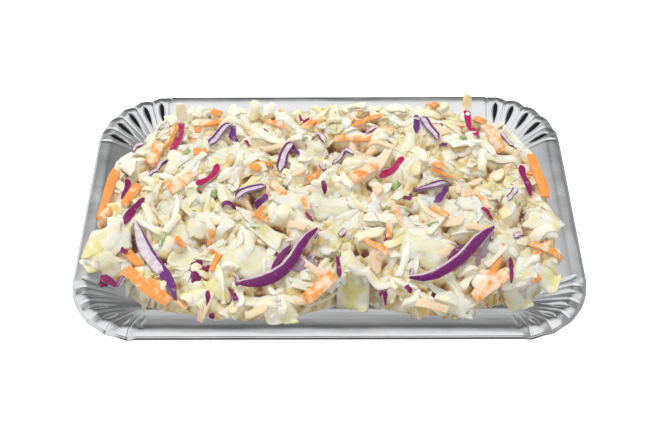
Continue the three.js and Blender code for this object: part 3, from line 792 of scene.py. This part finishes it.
def carrot_material():
    """Carrot flesh, orange with paler streaks along it, under dressing that is thicker on pieces of a
    higher tone. The flesh lets light in."""
    material, gloss, node, join = new_material("dressed_carrot")
    where = node("ShaderNodeTexCoord").outputs["Object"]
    tone, along, across = (
        node("ShaderNodeAttribute", attribute_name=label).outputs["Fac"] for label in ("tone", "along", "across")
    )
    slow = node("ShaderNodeMath", {0: along, 1: 0.1}, operation="MULTIPLY").outputs[0]
    fibre = node("ShaderNodeCombineXYZ", {"X": slow, "Y": across, "Z": tone}).outputs[0]
    streaks = node("ShaderNodeTexNoise", {"Vector": fibre, "Scale": 1.3, "Detail": 2.0}).outputs["Fac"]
    film = node("ShaderNodeTexNoise", {"Vector": where, "Scale": 190.0, "Detail": 4.0}).outputs["Fac"]
    flesh = ramp(node, streaks, [(0.3, (0.88, 0.27, 0.035)), (0.7, (0.95, 0.43, 0.12))])
    reach = node("ShaderNodeMath", {0: tone, 1: 0.45, 2: -0.16}, operation="MULTIPLY_ADD").outputs[0]
    thick = node("ShaderNodeMath", {0: film, 1: reach}, operation="ADD").outputs[0]
    coated = mixed(node, ramp(node, thick, [(0.46, 0.0), (0.6, 0.85)]), flesh, (0.95, 0.79, 0.60))
    join(coated, gloss.inputs["Base Color"])
    bump = node("ShaderNodeBump", {"Height": film, "Strength": 0.4, "Distance": 0.001})
    join(bump.outputs["Normal"], gloss.inputs["Normal"])
    gloss.inputs["Roughness"].default_value = 0.32
    gloss.inputs["Subsurface Weight"].default_value = 0.25
    gloss.inputs["Subsurface Radius"].default_value = (1.0, 0.5, 0.2)
    gloss.inputs["Subsurface Scale"].default_value = 0.003
    return material


# ------------------------------------------------------------------ red cabbage
# Red cabbage cut like the white: ribbons whose skin is violet to crimson and whose flesh is lilac
# white, so that a cut face shows pale between two dark edges.
REDS = dict(length=(6, 15), width=(2.0, 4.0), thickness=(1.0, 1.6), bow=3, roll=0.5, twist=0.4, arch=0.5,
            lift=1.0, stiffness=8)
RIBBON_SECTION = np.array([
    (1, 0), (0.82, 1.0), (0.3, 1.0), (-0.3, 1.0), (-0.82, 1.0), (-1, 0), (-0.5, -1.0), (0.5, -1.0),
])
# a curled ribbon is a gutter: eight points round its outer face and back along its inner face
GUTTER_TURN = np.radians([-75, -40, 0, 40, 75])
CURLED_SECTION = np.concatenate([
    np.stack([np.sin(GUTTER_TURN[::-1]), 0.4 - np.cos(GUTTER_TURN[::-1])], axis=1),
    np.stack([0.72 * np.sin(GUTTER_TURN), 0.4 - 0.72 * np.cos(GUTTER_TURN)], axis=1),
])
# points in the picture, width, depth, tone and lean of the curled ribbons
CURLED_RIBBONS = [
    ([(210, 148), (221, 137), (232, 126)], 6.5, 5.0, 0.05, -0.2),
    ([(236, 201), (250, 194), (266, 187)], 6.5, 5.0, 0.05, -0.2),
    ([(421, 120), (438, 141)], 6.5, 5.0, 0.05, -0.2),
    ([(414, 193), (432, 190), (449, 183)], 6.5, 5.0, 0.05, -0.2),
    ([(280, 172), (284, 156), (292, 145)], 6.5, 4.5, 0.30, 0.0),
]
# Which corners of the section show skin rather than flesh: above only, round the cut face only, all but
# the far edge, or one edge only.
FACES = {
    "skin": [0, 1, 1, 1, 1, 0, 0, 0], "cut": [1, 0.7, 0, 0, 0.7, 1, 1, 1], "far rim": [0, 0.3, 1, 1, 1, 1, 1, 1],
    "edge": [1, 1, 0, 0, 0, 0, 1, 1], "all": [1] * 8,
}
# The largest ribbons are crescents: points in the picture, width at the middle, tone, face, lean and lift.
CRESCENTS = [
    ([(272, 271), (279, 262), (285, 254), (291, 247)], 4.2, 0.50, "all", 0.2, 0.0),
    ([(236, 286), (246, 291), (258, 289), (270, 284), (280, 277), (288, 270), (295, 261), (301, 247), (308, 239), (317, 232)],
     7.6, 0.45, "far rim", 0.8, 1.2),
    ([(447, 265), (455, 256), (461, 250), (467, 244)], 4.2, 0.50, "all", 0.2, 0.0),
    ([(409, 280), (420, 285), (432, 283), (444, 278), (454, 271), (463, 264), (470, 255), (477, 243), (484, 236), (493, 231)],
     7.6, 0.45, "far rim", 0.8, 1.2),
    ([(136, 223), (140, 238), (145, 253), (156, 267), (168, 280), (175, 293), (176, 303)], 8.0, 0.20, "edge", 0.4, 0.6),
]
# centre in the picture, length, width, heading, tone and how much skin shows of the crumpled leaves
RED_LEAVES = [
    ((302, 262), 16, 11, 40, 0.30, 0.47), ((309, 252), 11, 8, 70, 0.15, 0.46),
    ((478, 256), 16, 11, 40, 0.30, 0.47), ((485, 246), 11, 8, 70, 0.15, 0.46),
    ((196, 266), 17, 10, 70, 0.60, 1.0), ((204, 268), 8, 8, 20, 0.80, 1.0), ((234, 134), 10, 6, 100, 0.10, 1.0),
    ((259, 203), 11, 6, 40, 0.10, 1.0), ((440, 196), 11, 6, 50, 0.10, 1.0), ((416, 126), 10, 6, 80, 0.10, 1.0),
    ((299, 150), 8, 6, 100, 0.40, 1.0), ((107, 281), 9, 6, 30, 0.75, 1.0),
]
# points in the picture, width, tone from violet to crimson, and face of the slivers
RED_SLIVERS = [
    ([(181, 124), (183, 137), (179, 143), (170, 151)], 4.8, 1.00, "skin"),
    ([(218, 166), (215, 176), (206, 182), (196, 187)], 4.8, 1.00, "skin"),
    ([(234, 128), (232, 141)], 4.8, 0.10, "skin"),
    ([(291, 146), (299, 155)], 3.5, 0.35, "skin"),
    ([(257, 207), (268, 197)], 4.8, 0.10, "skin"),
    ([(223, 206), (235, 209)], 3.0, 0.50, "skin"),
    ([(317, 135), (325, 143)], 4.0, 0.75, "cut"),
    ([(320, 163), (325, 171)], 3.0, 0.60, "cut"),
    ([(323, 183), (325, 193)], 3.5, 0.70, "skin"),
    ([(127, 180), (129, 188), (122, 199)], 4.2, 0.70, "skin"),
    ([(144, 199), (136, 211), (125, 224)], 5.2, 0.70, "skin"),
    ([(133, 153), (137, 148), (144, 145)], 3.0, 0.50, "cut"),
    ([(150, 176), (160, 165), (168, 164)], 3.5, 0.30, "cut"),
    ([(101, 277), (115, 286), (126, 286)], 5.0, 0.75, "skin"),
    ([(122, 252), (127, 254)], 4.0, 0.75, "skin"),
    ([(234, 296), (236, 302)], 3.5, 0.70, "skin"),
    ([(210, 312), (213, 317)], 4.0, 0.70, "skin"),
    ([(306, 213), (311, 221)], 2.5, 0.90, "skin"),
    ([(466, 112), (468, 127), (478, 138)], 4.8, 1.00, "skin"),
    ([(403, 158), (394, 171), (379, 178)], 4.8, 1.00, "skin"),
    ([(416, 118), (416, 134)], 4.5, 0.10, "skin"),
    ([(440, 146), (447, 146)], 3.0, 0.50, "skin"),
    ([(333, 164), (344, 154), (353, 155)], 3.2, 0.40, "cut"),
    ([(437, 203), (447, 189)], 4.8, 0.10, "skin"),
    ([(404, 200), (411, 201)], 3.0, 0.60, "skin"),
    ([(521, 166), (525, 182), (530, 195)], 4.8, 0.75, "skin"),
    ([(508, 201), (516, 190)], 4.0, 0.35, "cut"),
    ([(501, 133), (507, 140), (513, 148)], 2.8, 0.50, "cut"),
    ([(366, 133), (376, 129)], 2.8, 0.80, "cut"),
    ([(340, 237), (345, 230)], 4.0, 0.75, "cut"),
    ([(337, 257), (339, 270), (339, 283)], 3.0, 0.70, "skin"),
    ([(515, 238), (521, 234)], 4.0, 0.75, "cut"),
    ([(510, 257), (511, 270), (511, 283)], 3.0, 0.70, "skin"),
    ([(406, 288), (410, 293)], 3.5, 0.70, "skin"),
    ([(380, 301), (385, 305)], 4.0, 0.70, "skin"),
    ([(481, 209), (492, 219)], 2.5, 0.90, "skin"),
    ([(238, 275), (237, 286)], 2.4, 0.42, "cut"),
    ([(412, 269), (411, 278)], 2.4, 0.42, "cut"),
    ([(317, 232), (315, 240)], 2.2, 0.35, "cut"),
    ([(493, 231), (491, 240)], 2.2, 0.35, "cut"),
]


def red_cabbage_material():
    """Red cabbage: skin from violet over purple to crimson, lilac white flesh where it is cut, and a
    thin glossy film that catches the light."""
    material, gloss, node, join = new_material("dressed_red_cabbage")
    where = node("ShaderNodeTexCoord").outputs["Object"]
    tone = node("ShaderNodeAttribute", attribute_name="tone").outputs["Fac"]
    skin = node("ShaderNodeAttribute", attribute_name="skin").outputs["Fac"]
    film = node("ShaderNodeTexNoise", {"Vector": where, "Scale": 200.0, "Detail": 3.0}).outputs["Fac"]
    streaks = node("ShaderNodeTexNoise", {"Vector": where, "Scale": 300.0, "Detail": 2.0}).outputs["Fac"]
    purple = ramp(node, tone, [
        (0.0, (0.15, 0.03, 0.22)), (0.35, (0.15, 0.015, 0.16)), (0.7, (0.22, 0.012, 0.11)), (1.0, (0.46, 0.012, 0.12)),
    ])
    flesh = ramp(node, streaks, [(0.35, (0.60, 0.49, 0.57)), (0.65, (0.78, 0.70, 0.76))])
    body = mixed(node, ramp(node, skin, [(0.35, 0.0), (0.6, 1.0)]), flesh, purple)
    coated = mixed(node, ramp(node, film, [(0.6, 0.0), (0.75, 0.3)]), body, (0.86, 0.76, 0.82))
    join(coated, gloss.inputs["Base Color"])
    bump = node("ShaderNodeBump", {"Height": film, "Strength": 0.4, "Distance": 0.001})
    join(bump.outputs["Normal"], gloss.inputs["Normal"])
    gloss.inputs["Roughness"].default_value = 0.25
    gloss.inputs["Subsurface Weight"].default_value = 0.2
    gloss.inputs["Subsurface Radius"].default_value = (1.0, 0.3, 0.8)
    gloss.inputs["Subsurface Scale"].default_value = 0.002
    return material


# ------------------------------------------------------------------ green onion and herb
# Small rounds and slivers of green onion, and flecks of chopped herb, scattered in the dressing.
# centre in the picture, length, width and heading in degrees
GREEN_ROUNDS = [
    ((187, 150), 7.5, 5.5, 70), ((214, 193), 7.5, 5.5, 60), ((462, 138), 7.5, 5.5, -60), ((395, 184), 7.5, 5.5, 55),
    ((163, 239), 9.0, 3.0, 75), ((255, 227), 6.0, 4.0, 10), ((433, 222), 6.0, 4.0, 10), ((336, 258), 6.0, 4.0, 60),
]
FLECKS = dict(length=(1.2, 3.0), width=(0.8, 1.6), grid=CRUMB_GRID)


def green_material():
    """Green onion skin: leaf green with paler streaks and a wet gloss."""
    material, gloss, node, join = new_material("green_onion")
    where = node("ShaderNodeTexCoord").outputs["Object"]
    clouds = node("ShaderNodeTexNoise", {"Vector": where, "Scale": 260.0, "Detail": 3.0}).outputs["Fac"]
    join(ramp(node, clouds, [(0.35, (0.20, 0.36, 0.09)), (0.65, (0.50, 0.64, 0.30))]), gloss.inputs["Base Color"])
    bump = node("ShaderNodeBump", {"Height": clouds, "Strength": 0.3, "Distance": 0.0008})
    join(bump.outputs["Normal"], gloss.inputs["Normal"])
    gloss.inputs["Roughness"].default_value = 0.35
    gloss.inputs["Subsurface Weight"].default_value = 0.2
    gloss.inputs["Subsurface Scale"].default_value = 0.002
    return material


# ------------------------------------------------------------------ heaping up
# The salad is tossed and then tipped onto the platter, so the kinds lie mixed in layers. The lower layers
# are half sunk in dressing, the pieces placed one by one lie on those, and a last thin layer fills between.
POOL_RISE = 2.2
COAT_DEPTH, OPEN_DEPTH, BORDER_DROP, CORE_EDGE = 0.3, 2.2, 3.0, 1.5
CLUMP = 2.4
# points in the picture, width, tone and how far the far end rises of the cuts of leaf that stand up at the back
UPRIGHT_CUTS = [
    ([(465, 122), (465, 117), (466, 112)], 7.5, 0.75, 16.0), ([(184, 128), (183, 123), (182, 118)], 7.5, 0.75, 14.0),
]
FLECK_COUNT = 70
STRIP_KINDS = {"shreds": SHREDS, "ribs": RIBS, "carrots": CARROTS, "reds": REDS}
LEAF_KINDS = {"leaves": LEAVES, "chips": CHIPS, "crumbs": CRUMBS, "flecks": FLECKS}
heap = {name: [] for name in (*STRIP_KINDS, *LEAF_KINDS)}


def spread_middles(count, first):
    """Middles spread evenly over the heap: the steps of a two-way golden sequence that fall inside it."""
    k = np.arange(first, first + 2 * count)
    across, along = (0.5 + k * 0.7548776662) % 1, (0.5 + k * 0.5698402910) % 1
    x = (across - 0.5) * (HEAP_LENGTH - 4) + draw.normal(0, 3, len(k))
    y = (along - 0.5) * (HEAP_WIDTH - 4) + draw.normal(0, 3, len(k))
    fits = heap_depth(x, y) > 3
    return np.stack([x, y], axis=1)[fits][:count]


def heap_outline(stations, inset):
    """The line that runs round the heap at a given depth, found by halving along rays from its middle."""
    turn = np.linspace(0, 2 * math.pi, stations, endpoint=False)
    far = np.stack([np.cos(turn), np.sin(turn)], axis=1) * 400
    near = np.zeros_like(far)
    for _ in range(40):
        middle = (far + near) / 2
        outside = (heap_depth(middle[:, 0], middle[:, 1]) < inset)[:, None]
        far, near = np.where(outside, middle, far), np.where(outside, near, middle)
    return near


def border_middles(count, nearest, furthest):
    """Middles spread round the heap's edge, at depths between two limits."""
    near, far = heap_outline(count, nearest), heap_outline(count, furthest)
    share = draw.uniform(0, 1, count)[:, None]
    return (near * (1 - share) + far * share)[draw.permutation(count)]


def strew(middles, shares, **how):
    """Lays pieces of mixed kinds at the given middles. shares gives each kind's part of them."""
    names = draw.choice(list(shares), len(middles), p=np.array(list(shares.values())) / sum(shares.values()))
    for (x, y), name in zip(middles, names):
        if name in LEAF_KINDS:
            piece = random_leaf(x, y, **LEAF_KINDS[name], **how)
        else:
            piece = random_strip(x, y, **STRIP_KINDS[name], **how)
        if piece is not None:
            heap[name].append(piece)


strew(spread_middles(400, 0), {"shreds": 26, "chips": 50, "ribs": 22, "carrots": 2})
strew(border_middles(150, 4, 10), {"shreds": 30, "chips": 44, "ribs": 24, "carrots": 2}, scale=0.75)
level = np.maximum(level, np.where(over_depth > 2, blurred(level, 10) - 1.2, 0))
clumps = np.sin(over_x / 6.1 + 1.5 * np.sin(over_y / 10.3)) * np.sin(over_y / 5.2 + 1.4 * np.sin(over_x / 12.9))
level = level + CLUMP * clumps * np.clip(over_depth / 25, 0, 1)
strew(spread_middles(260, 3000), {"shreds": 28, "chips": 40, "ribs": 22, "carrots": 9, "reds": 1})
strew(border_middles(150, 3.5, 9), {"shreds": 34, "chips": 40, "ribs": 22, "carrots": 4}, scale=0.7)
strew(spread_middles(150, 5000), {"leaves": 1})
strew(spread_middles(150, 6000), {"shreds": 36, "ribs": 30, "chips": 22, "carrots": 12})
pooled = np.sin(over_x / 7.3 + 1.7 * np.sin(over_y / 9.1)) * np.sin(over_y / 6.1 + 1.9 * np.sin(over_x / 11.7))
pooled = np.clip(0.65 + 0.75 * pooled, 0, 1)
dressing = np.where(over_depth > 0, blurred(level, 6) - 2.8 + POOL_RISE * pooled, over_foil)
level = np.maximum(level, dressing)

for centre, length, width, heading, curl, fold, rise, tone in LARGE_LEAVES:
    x, y = seen_at([centre])[0]
    leaf = lay_leaf(x, y, math.radians(heading), length, width, curl, fold, 0.25, grid=LEAF_GRID,
                    blunt=(0.15, 0.35), skew=0.12, rise=rise, keep=True)
    heap["leaves"].append({**leaf, "tone": tone})
for pixels, width, tone, rise in UPRIGHT_CUTS:
    cut = placed_strip(pixels, width, 1.8, tone, lean=0.0, drawn_in=0.7, waves=0.1, arch=0.4, lift=(0.0, rise))
    heap["shreds"].append(cut)
for pixels, width, thickness, film in LONG_CARROTS:
    stick = placed_strip(pixels, width, thickness, film, drawn_in=0.92, waves=0.12, stiffness=12)
    heap["carrots"].append(stick)
red_leaves = []
for centre, length, width, heading, tone, skin in RED_LEAVES:
    x, y = seen_at([centre])[0]
    leaf = lay_leaf(x, y, math.radians(heading), length, width, 1.5, 1.5, 0.8, grid=LEAF_GRID, keep=True, rise=0.4)
    red_leaves.append({**leaf, "tone": tone, "skin": skin})
for pixels, width, tone, face in RED_SLIVERS:
    ribbon = placed_strip(pixels, width, 2.0, tone, drawn_in=0.35, waves=0.3, arch=-0.5, stiffness=5)
    heap["reds"].append({**ribbon, "face": face})
for pixels, width, tone, face, lean, lift in CRESCENTS:
    ribbon = placed_strip(pixels, width, 2.2, tone, lean=lean, drawn_in=0.25, waves=0.12, arch=0.7, stiffness=6,
                          full_over=0.3, lift=(lift, lift))
    heap["reds"].append({**ribbon, "face": face})
curled_ribbons = []
for pixels, width, depth, tone, lean in CURLED_RIBBONS:
    curled_ribbons.append(placed_strip(pixels, width, depth, tone, lean=lean, drawn_in=0.3, waves=0.12, stiffness=8))
rounds = []
for centre, length, width, heading in GREEN_ROUNDS:
    x, y = seen_at([centre])[0]
    rounds.append(lay_leaf(x, y, math.radians(heading), length, width, 1.2, 0.0, 0.0, keep=True, rise=0.6))
strew(spread_middles(320, 7000), {"leaves": 16, "shreds": 18, "chips": 34, "ribs": 11, "crumbs": 12, "carrots": 7,
                                  "reds": 2}, scale=0.9, dodge=True)
strew(border_middles(130, 1, 6), {"chips": 55, "shreds": 40, "carrots": 5}, scale=0.8, dodge=True)
strew(spread_middles(FLECK_COUNT, 9000), {"flecks": 1}, dodge=True, sink=0.0)

# the broadly smoothed heap that the crest is measured from, for the painted light and shade
around = blurred(level, 24)
coat = blurred(level, 3) - COAT_DEPTH - OPEN_DEPTH * (1 - pooled) - 1.2 * np.clip(2 * blurred(shown * 1.0, 4), 0, 1)
coat = np.maximum(coat, dressing) - BORDER_DROP * np.clip(1 - over_depth / 5, 0, 1)
coat = np.minimum(coat, over_foil + CORE_EDGE + SKIRT_SLOPE * over_depth)
coat = np.where(over_depth > 0, np.maximum(coat, over_foil), over_foil)

make_strips("cabbage_shreds", heap["shreds"], SLICE_SECTION, cabbage, crisp_over=50)
make_strips("cabbage_ribs", heap["ribs"], SLICE_SECTION, cabbage, crisp_over=50)
make_leaves("cabbage_leaves", heap["leaves"], LEAF_THICKNESS, cabbage)
make_leaves("cabbage_chips", heap["chips"], CHIP_THICKNESS, cabbage)
make_leaves("cabbage_crumbs", heap["crumbs"], CHIP_THICKNESS, cabbage)
make_strips("carrot_shreds", heap["carrots"], STICK_SECTION, carrot_material(), crisp_over=40)

green = green_material()
make_leaves("green_onion", rounds, 1.6, green)
make_leaves("herb_flecks", heap["flecks"], 0.3, green)

# a curled ribbon has skin outside and round its rims, and shows its pale flesh inside
CURL_SKIN = np.array([1, 1, 1, 1, 1, 1, 0.3, 0, 0.3, 1])
skins = np.stack([FACES[ribbon.get("face", "skin")] for ribbon in heap["reds"]])[:, None].repeat(STATIONS, 1)
skins[[ribbon.get("face") == "edge" for ribbon in heap["reds"]], -3:] = 1
red_cabbage = red_cabbage_material()
make_strips("red_cabbage", heap["reds"], RIBBON_SECTION, red_cabbage, {"skin": skins}, crisp_over=50)
make_leaves("red_cabbage_leaves", red_leaves, LEAF_THICKNESS, red_cabbage,
            {"skin": np.repeat([leaf["skin"] for leaf in red_leaves], 2 * LEAF_GRID[0] * LEAF_GRID[1])})
make_strips("curled_red_cabbage", curled_ribbons, CURLED_SECTION, red_cabbage,
            {"skin": np.tile(CURL_SKIN, (len(curled_ribbons), STATIONS, 1))}, crisp_over=50)

# ------------------------------------------------------------------ packed salad
# The body of the salad: fine cabbage and dressing packed together, which shows only between the pieces.
CORE_STATIONS, CORE_RINGS, CORE_UNDER_RINGS = 600, 120, 14
CORE_INSET = 1.5
# the depth of the border where less painted shade is allowed, and the lowest crest used there
SHADE_HELD_BORDER, LEAST_CREST = 10.0, -1.5


def core_points():
    """The core as rings that shrink to its middle, above and below. Its top is the height of the dressing
    between the pieces, and it is roughened with crossed sines."""
    near = heap_outline(CORE_STATIONS, CORE_INSET)
    top = near[None] * (1 - np.linspace(1, 0, CORE_RINGS) ** 1.3)[:, None, None]
    under = near[None] * np.linspace(1, 0, CORE_UNDER_RINGS)[1:, None, None]
    x, y = top[..., 0], top[..., 1]
    rough = 0.35 * np.sin(x * 1.1 + 2 * np.sin(y * 0.7)) * np.sin(y * 1.3 + 2 * np.sin(x * 0.6))
    lowest = platter_top(x, y) + FOIL_CLEARANCE
    top_z = np.maximum(read(coat, x, y) + rough, lowest + 0.6)
    under_z = platter_top(under[..., 0], under[..., 1]) + FOIL_CLEARANCE
    upper = np.concatenate([top, top_z[..., None]], axis=-1)
    lower = np.concatenate([under, under_z[..., None]], axis=-1)
    return np.concatenate([upper, lower])


def core_material():
    """Packed shreds in dressing, glossy and mottled, and painted by how high they lie: cream on the crests, straw on
    the slopes and brown in the pits, the straw and brown being painted shade.
    """
    material, gloss, node, join = new_material("packed_salad")
    where = node("ShaderNodeTexCoord").outputs["Object"]
    crest = node("ShaderNodeAttribute", attribute_name="crest").outputs["Fac"]
    mottle = node("ShaderNodeTexNoise", {"Vector": where, "Scale": 150.0, "Detail": 4.0}).outputs["Fac"]
    height = node("ShaderNodeMath", {0: crest, 1: 0.12, 2: 0.1}, operation="MULTIPLY_ADD").outputs[0]
    mottle_with_painted_shade = node("ShaderNodeMath", {0: mottle, 1: height}, operation="ADD").outputs[0]
    # painted shade: the lower a point lies below its surroundings, the darker and browner its colour
    join(ramp(node, mottle_with_painted_shade, [
        (0.10, (0.24, 0.08, 0.03)), (0.24, (0.56, 0.34, 0.14)), (0.38, (0.82, 0.70, 0.40)), (0.54, (0.90, 0.84, 0.64)),
        (0.70, (0.94, 0.92, 0.83)),
    ]), gloss.inputs["Base Color"])
    bump = node("ShaderNodeBump", {"Height": mottle, "Strength": 0.5, "Distance": 0.0016})
    join(bump.outputs["Normal"], gloss.inputs["Normal"])
    gloss.inputs["Roughness"].default_value = 0.28
    gloss.inputs["Subsurface Weight"].default_value = 0.4
    gloss.inputs["Subsurface Radius"].default_value = (1.0, 0.7, 0.35)
    gloss.inputs["Subsurface Scale"].default_value = 0.004
    return material


core_grid = core_points()
core_quads = band_quads(core_grid.shape[0], core_grid.shape[1])
# The crest sets the core's painted shade. Near the border and on the underside it is held at LEAST_CREST or above, so
# less shade is painted there.
core_crest = core_grid[..., 2] - read(around, core_grid[..., 0], core_grid[..., 1])
near_edge = heap_depth(core_grid[..., 0], core_grid[..., 1]) < SHADE_HELD_BORDER
near_edge[CORE_RINGS:] = True
core_crest = np.where(near_edge, np.maximum(core_crest, LEAST_CREST), core_crest)
core = make_piece(
    "salad_core", core_grid.reshape(-1, 3), core_quads, core_material(), {"crest": core_crest},
    closed_by_merging=True,
)
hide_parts("coleslaw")

# ------------------------------------------------------------------ table and light
# A pale table under a bright even sky. The foil mirrors only the sky: a darker band before and behind,
# a pale wall on the left and a grey one on the right.
TABLE_SIZE = 6.0
TABLE_GLOW = 0.9
SKY_STRENGTH = 1.0
LEFT_WALL, RIGHT_WALL = (0.85, 0.85, 0.85), (0.36, 0.36, 0.36)
SOFTBOX_WATTS = 9.0

half_table = TABLE_SIZE / 2
table_mesh = bpy.data.meshes.new("table")
table_corners = [(-half_table, -half_table, 0), (half_table, -half_table, 0), (half_table, half_table, 0),
                 (-half_table, half_table, 0)]
table_mesh.from_pydata(table_corners, [], [(0, 1, 2, 3)])
table_paint, table_gloss, _, _ = new_material("table")
table_gloss.inputs["Base Color"].default_value = (0.85, 0.85, 0.85, 1)
table_gloss.inputs["Emission Color"].default_value = (1, 1, 1, 1)
table_gloss.inputs["Emission Strength"].default_value = TABLE_GLOW
table_gloss.inputs["Roughness"].default_value = 0.9
table_gloss.inputs["Specular IOR Level"].default_value = 0.0
table_mesh.materials.append(table_paint)
table = bpy.data.objects.new("table", table_mesh)
bpy.context.scene.collection.objects.link(table)
table.visible_glossy = False

studio = bpy.data.worlds.new("studio")
bpy.context.scene.world = studio
studio.use_nodes = True
sky = studio.node_tree
sky_node = node_maker(sky)
direction = sky_node("ShaderNodeTexCoord").outputs["Generated"]
parts = sky_node("ShaderNodeSeparateXYZ", {"Vector": direction}).outputs
upward = sky_node("ShaderNodeMath", {0: parts["Z"], 1: 0.5, 2: 0.5}, operation="MULTIPLY_ADD").outputs[0]
behind = ramp(sky_node, upward, [
    (0.22, 0.78), (0.30, 0.62), (0.36, 0.42), (0.41, 0.25), (0.47, 0.15), (0.79, 0.13), (0.83, 0.30), (0.87, 0.52),
    (0.895, 0.64), (0.92, 0.93),
])
before = ramp(sky_node, parts["Z"], [(0.0, 0.08), (0.5, 0.05), (0.58, 0.1), (0.67, 0.85), (0.86, 1.0)])
frontness = ramp(sky_node, parts["Y"], [(0.0, 1.0), (0.25, 0.0)])
off_axis = sky_node("ShaderNodeMath", {0: parts["X"], 1: 0.5, 2: 0.5}, operation="MULTIPLY_ADD").outputs[0]
ahead = mixed(sky_node, frontness, behind, before)
with_left = mixed(sky_node, ramp(sky_node, off_axis, [(0.15, 1.0), (0.35, 0.0)]), ahead, LEFT_WALL)
mirrored = mixed(sky_node, ramp(sky_node, off_axis, [(0.65, 0.0), (0.85, 1.0)]), with_left, RIGHT_WALL)
even = (0.70, 0.68, 0.65)
for_mirrors = sky_node("ShaderNodeLightPath").outputs["Is Glossy Ray"]
sky.links.new(mixed(sky_node, for_mirrors, even, mirrored), sky.nodes["Background"].inputs["Color"])
sky.nodes["Background"].inputs["Strength"].default_value = SKY_STRENGTH


def softbox(name, place_at, size, watts):
    """A round lamp that looks at the platter's middle and isn't mirrored by the foil."""
    light = bpy.data.lights.new(name, "AREA")
    light.shape = "DISK"
    light.size = size
    light.energy = watts
    lamp = bpy.data.objects.new(name, light)
    bpy.context.scene.collection.objects.link(lamp)
    tall = np.array(place_at) / np.linalg.norm(place_at)
    wide = np.cross([0.0, 1.0, 0.0], tall)
    wide /= np.linalg.norm(wide)
    lamp_place = np.eye(4)
    lamp_place[:3, 0], lamp_place[:3, 1], lamp_place[:3, 2], lamp_place[:3, 3] = wide, np.cross(tall, wide), tall, place_at
    lamp.matrix_world = Matrix(lamp_place.tolist())
    lamp.visible_glossy = False


softbox("softbox", (-0.2, 0.4, 1.23), 0.6, SOFTBOX_WATTS)
bpy.context.scene.view_settings.view_transform = "Standard"
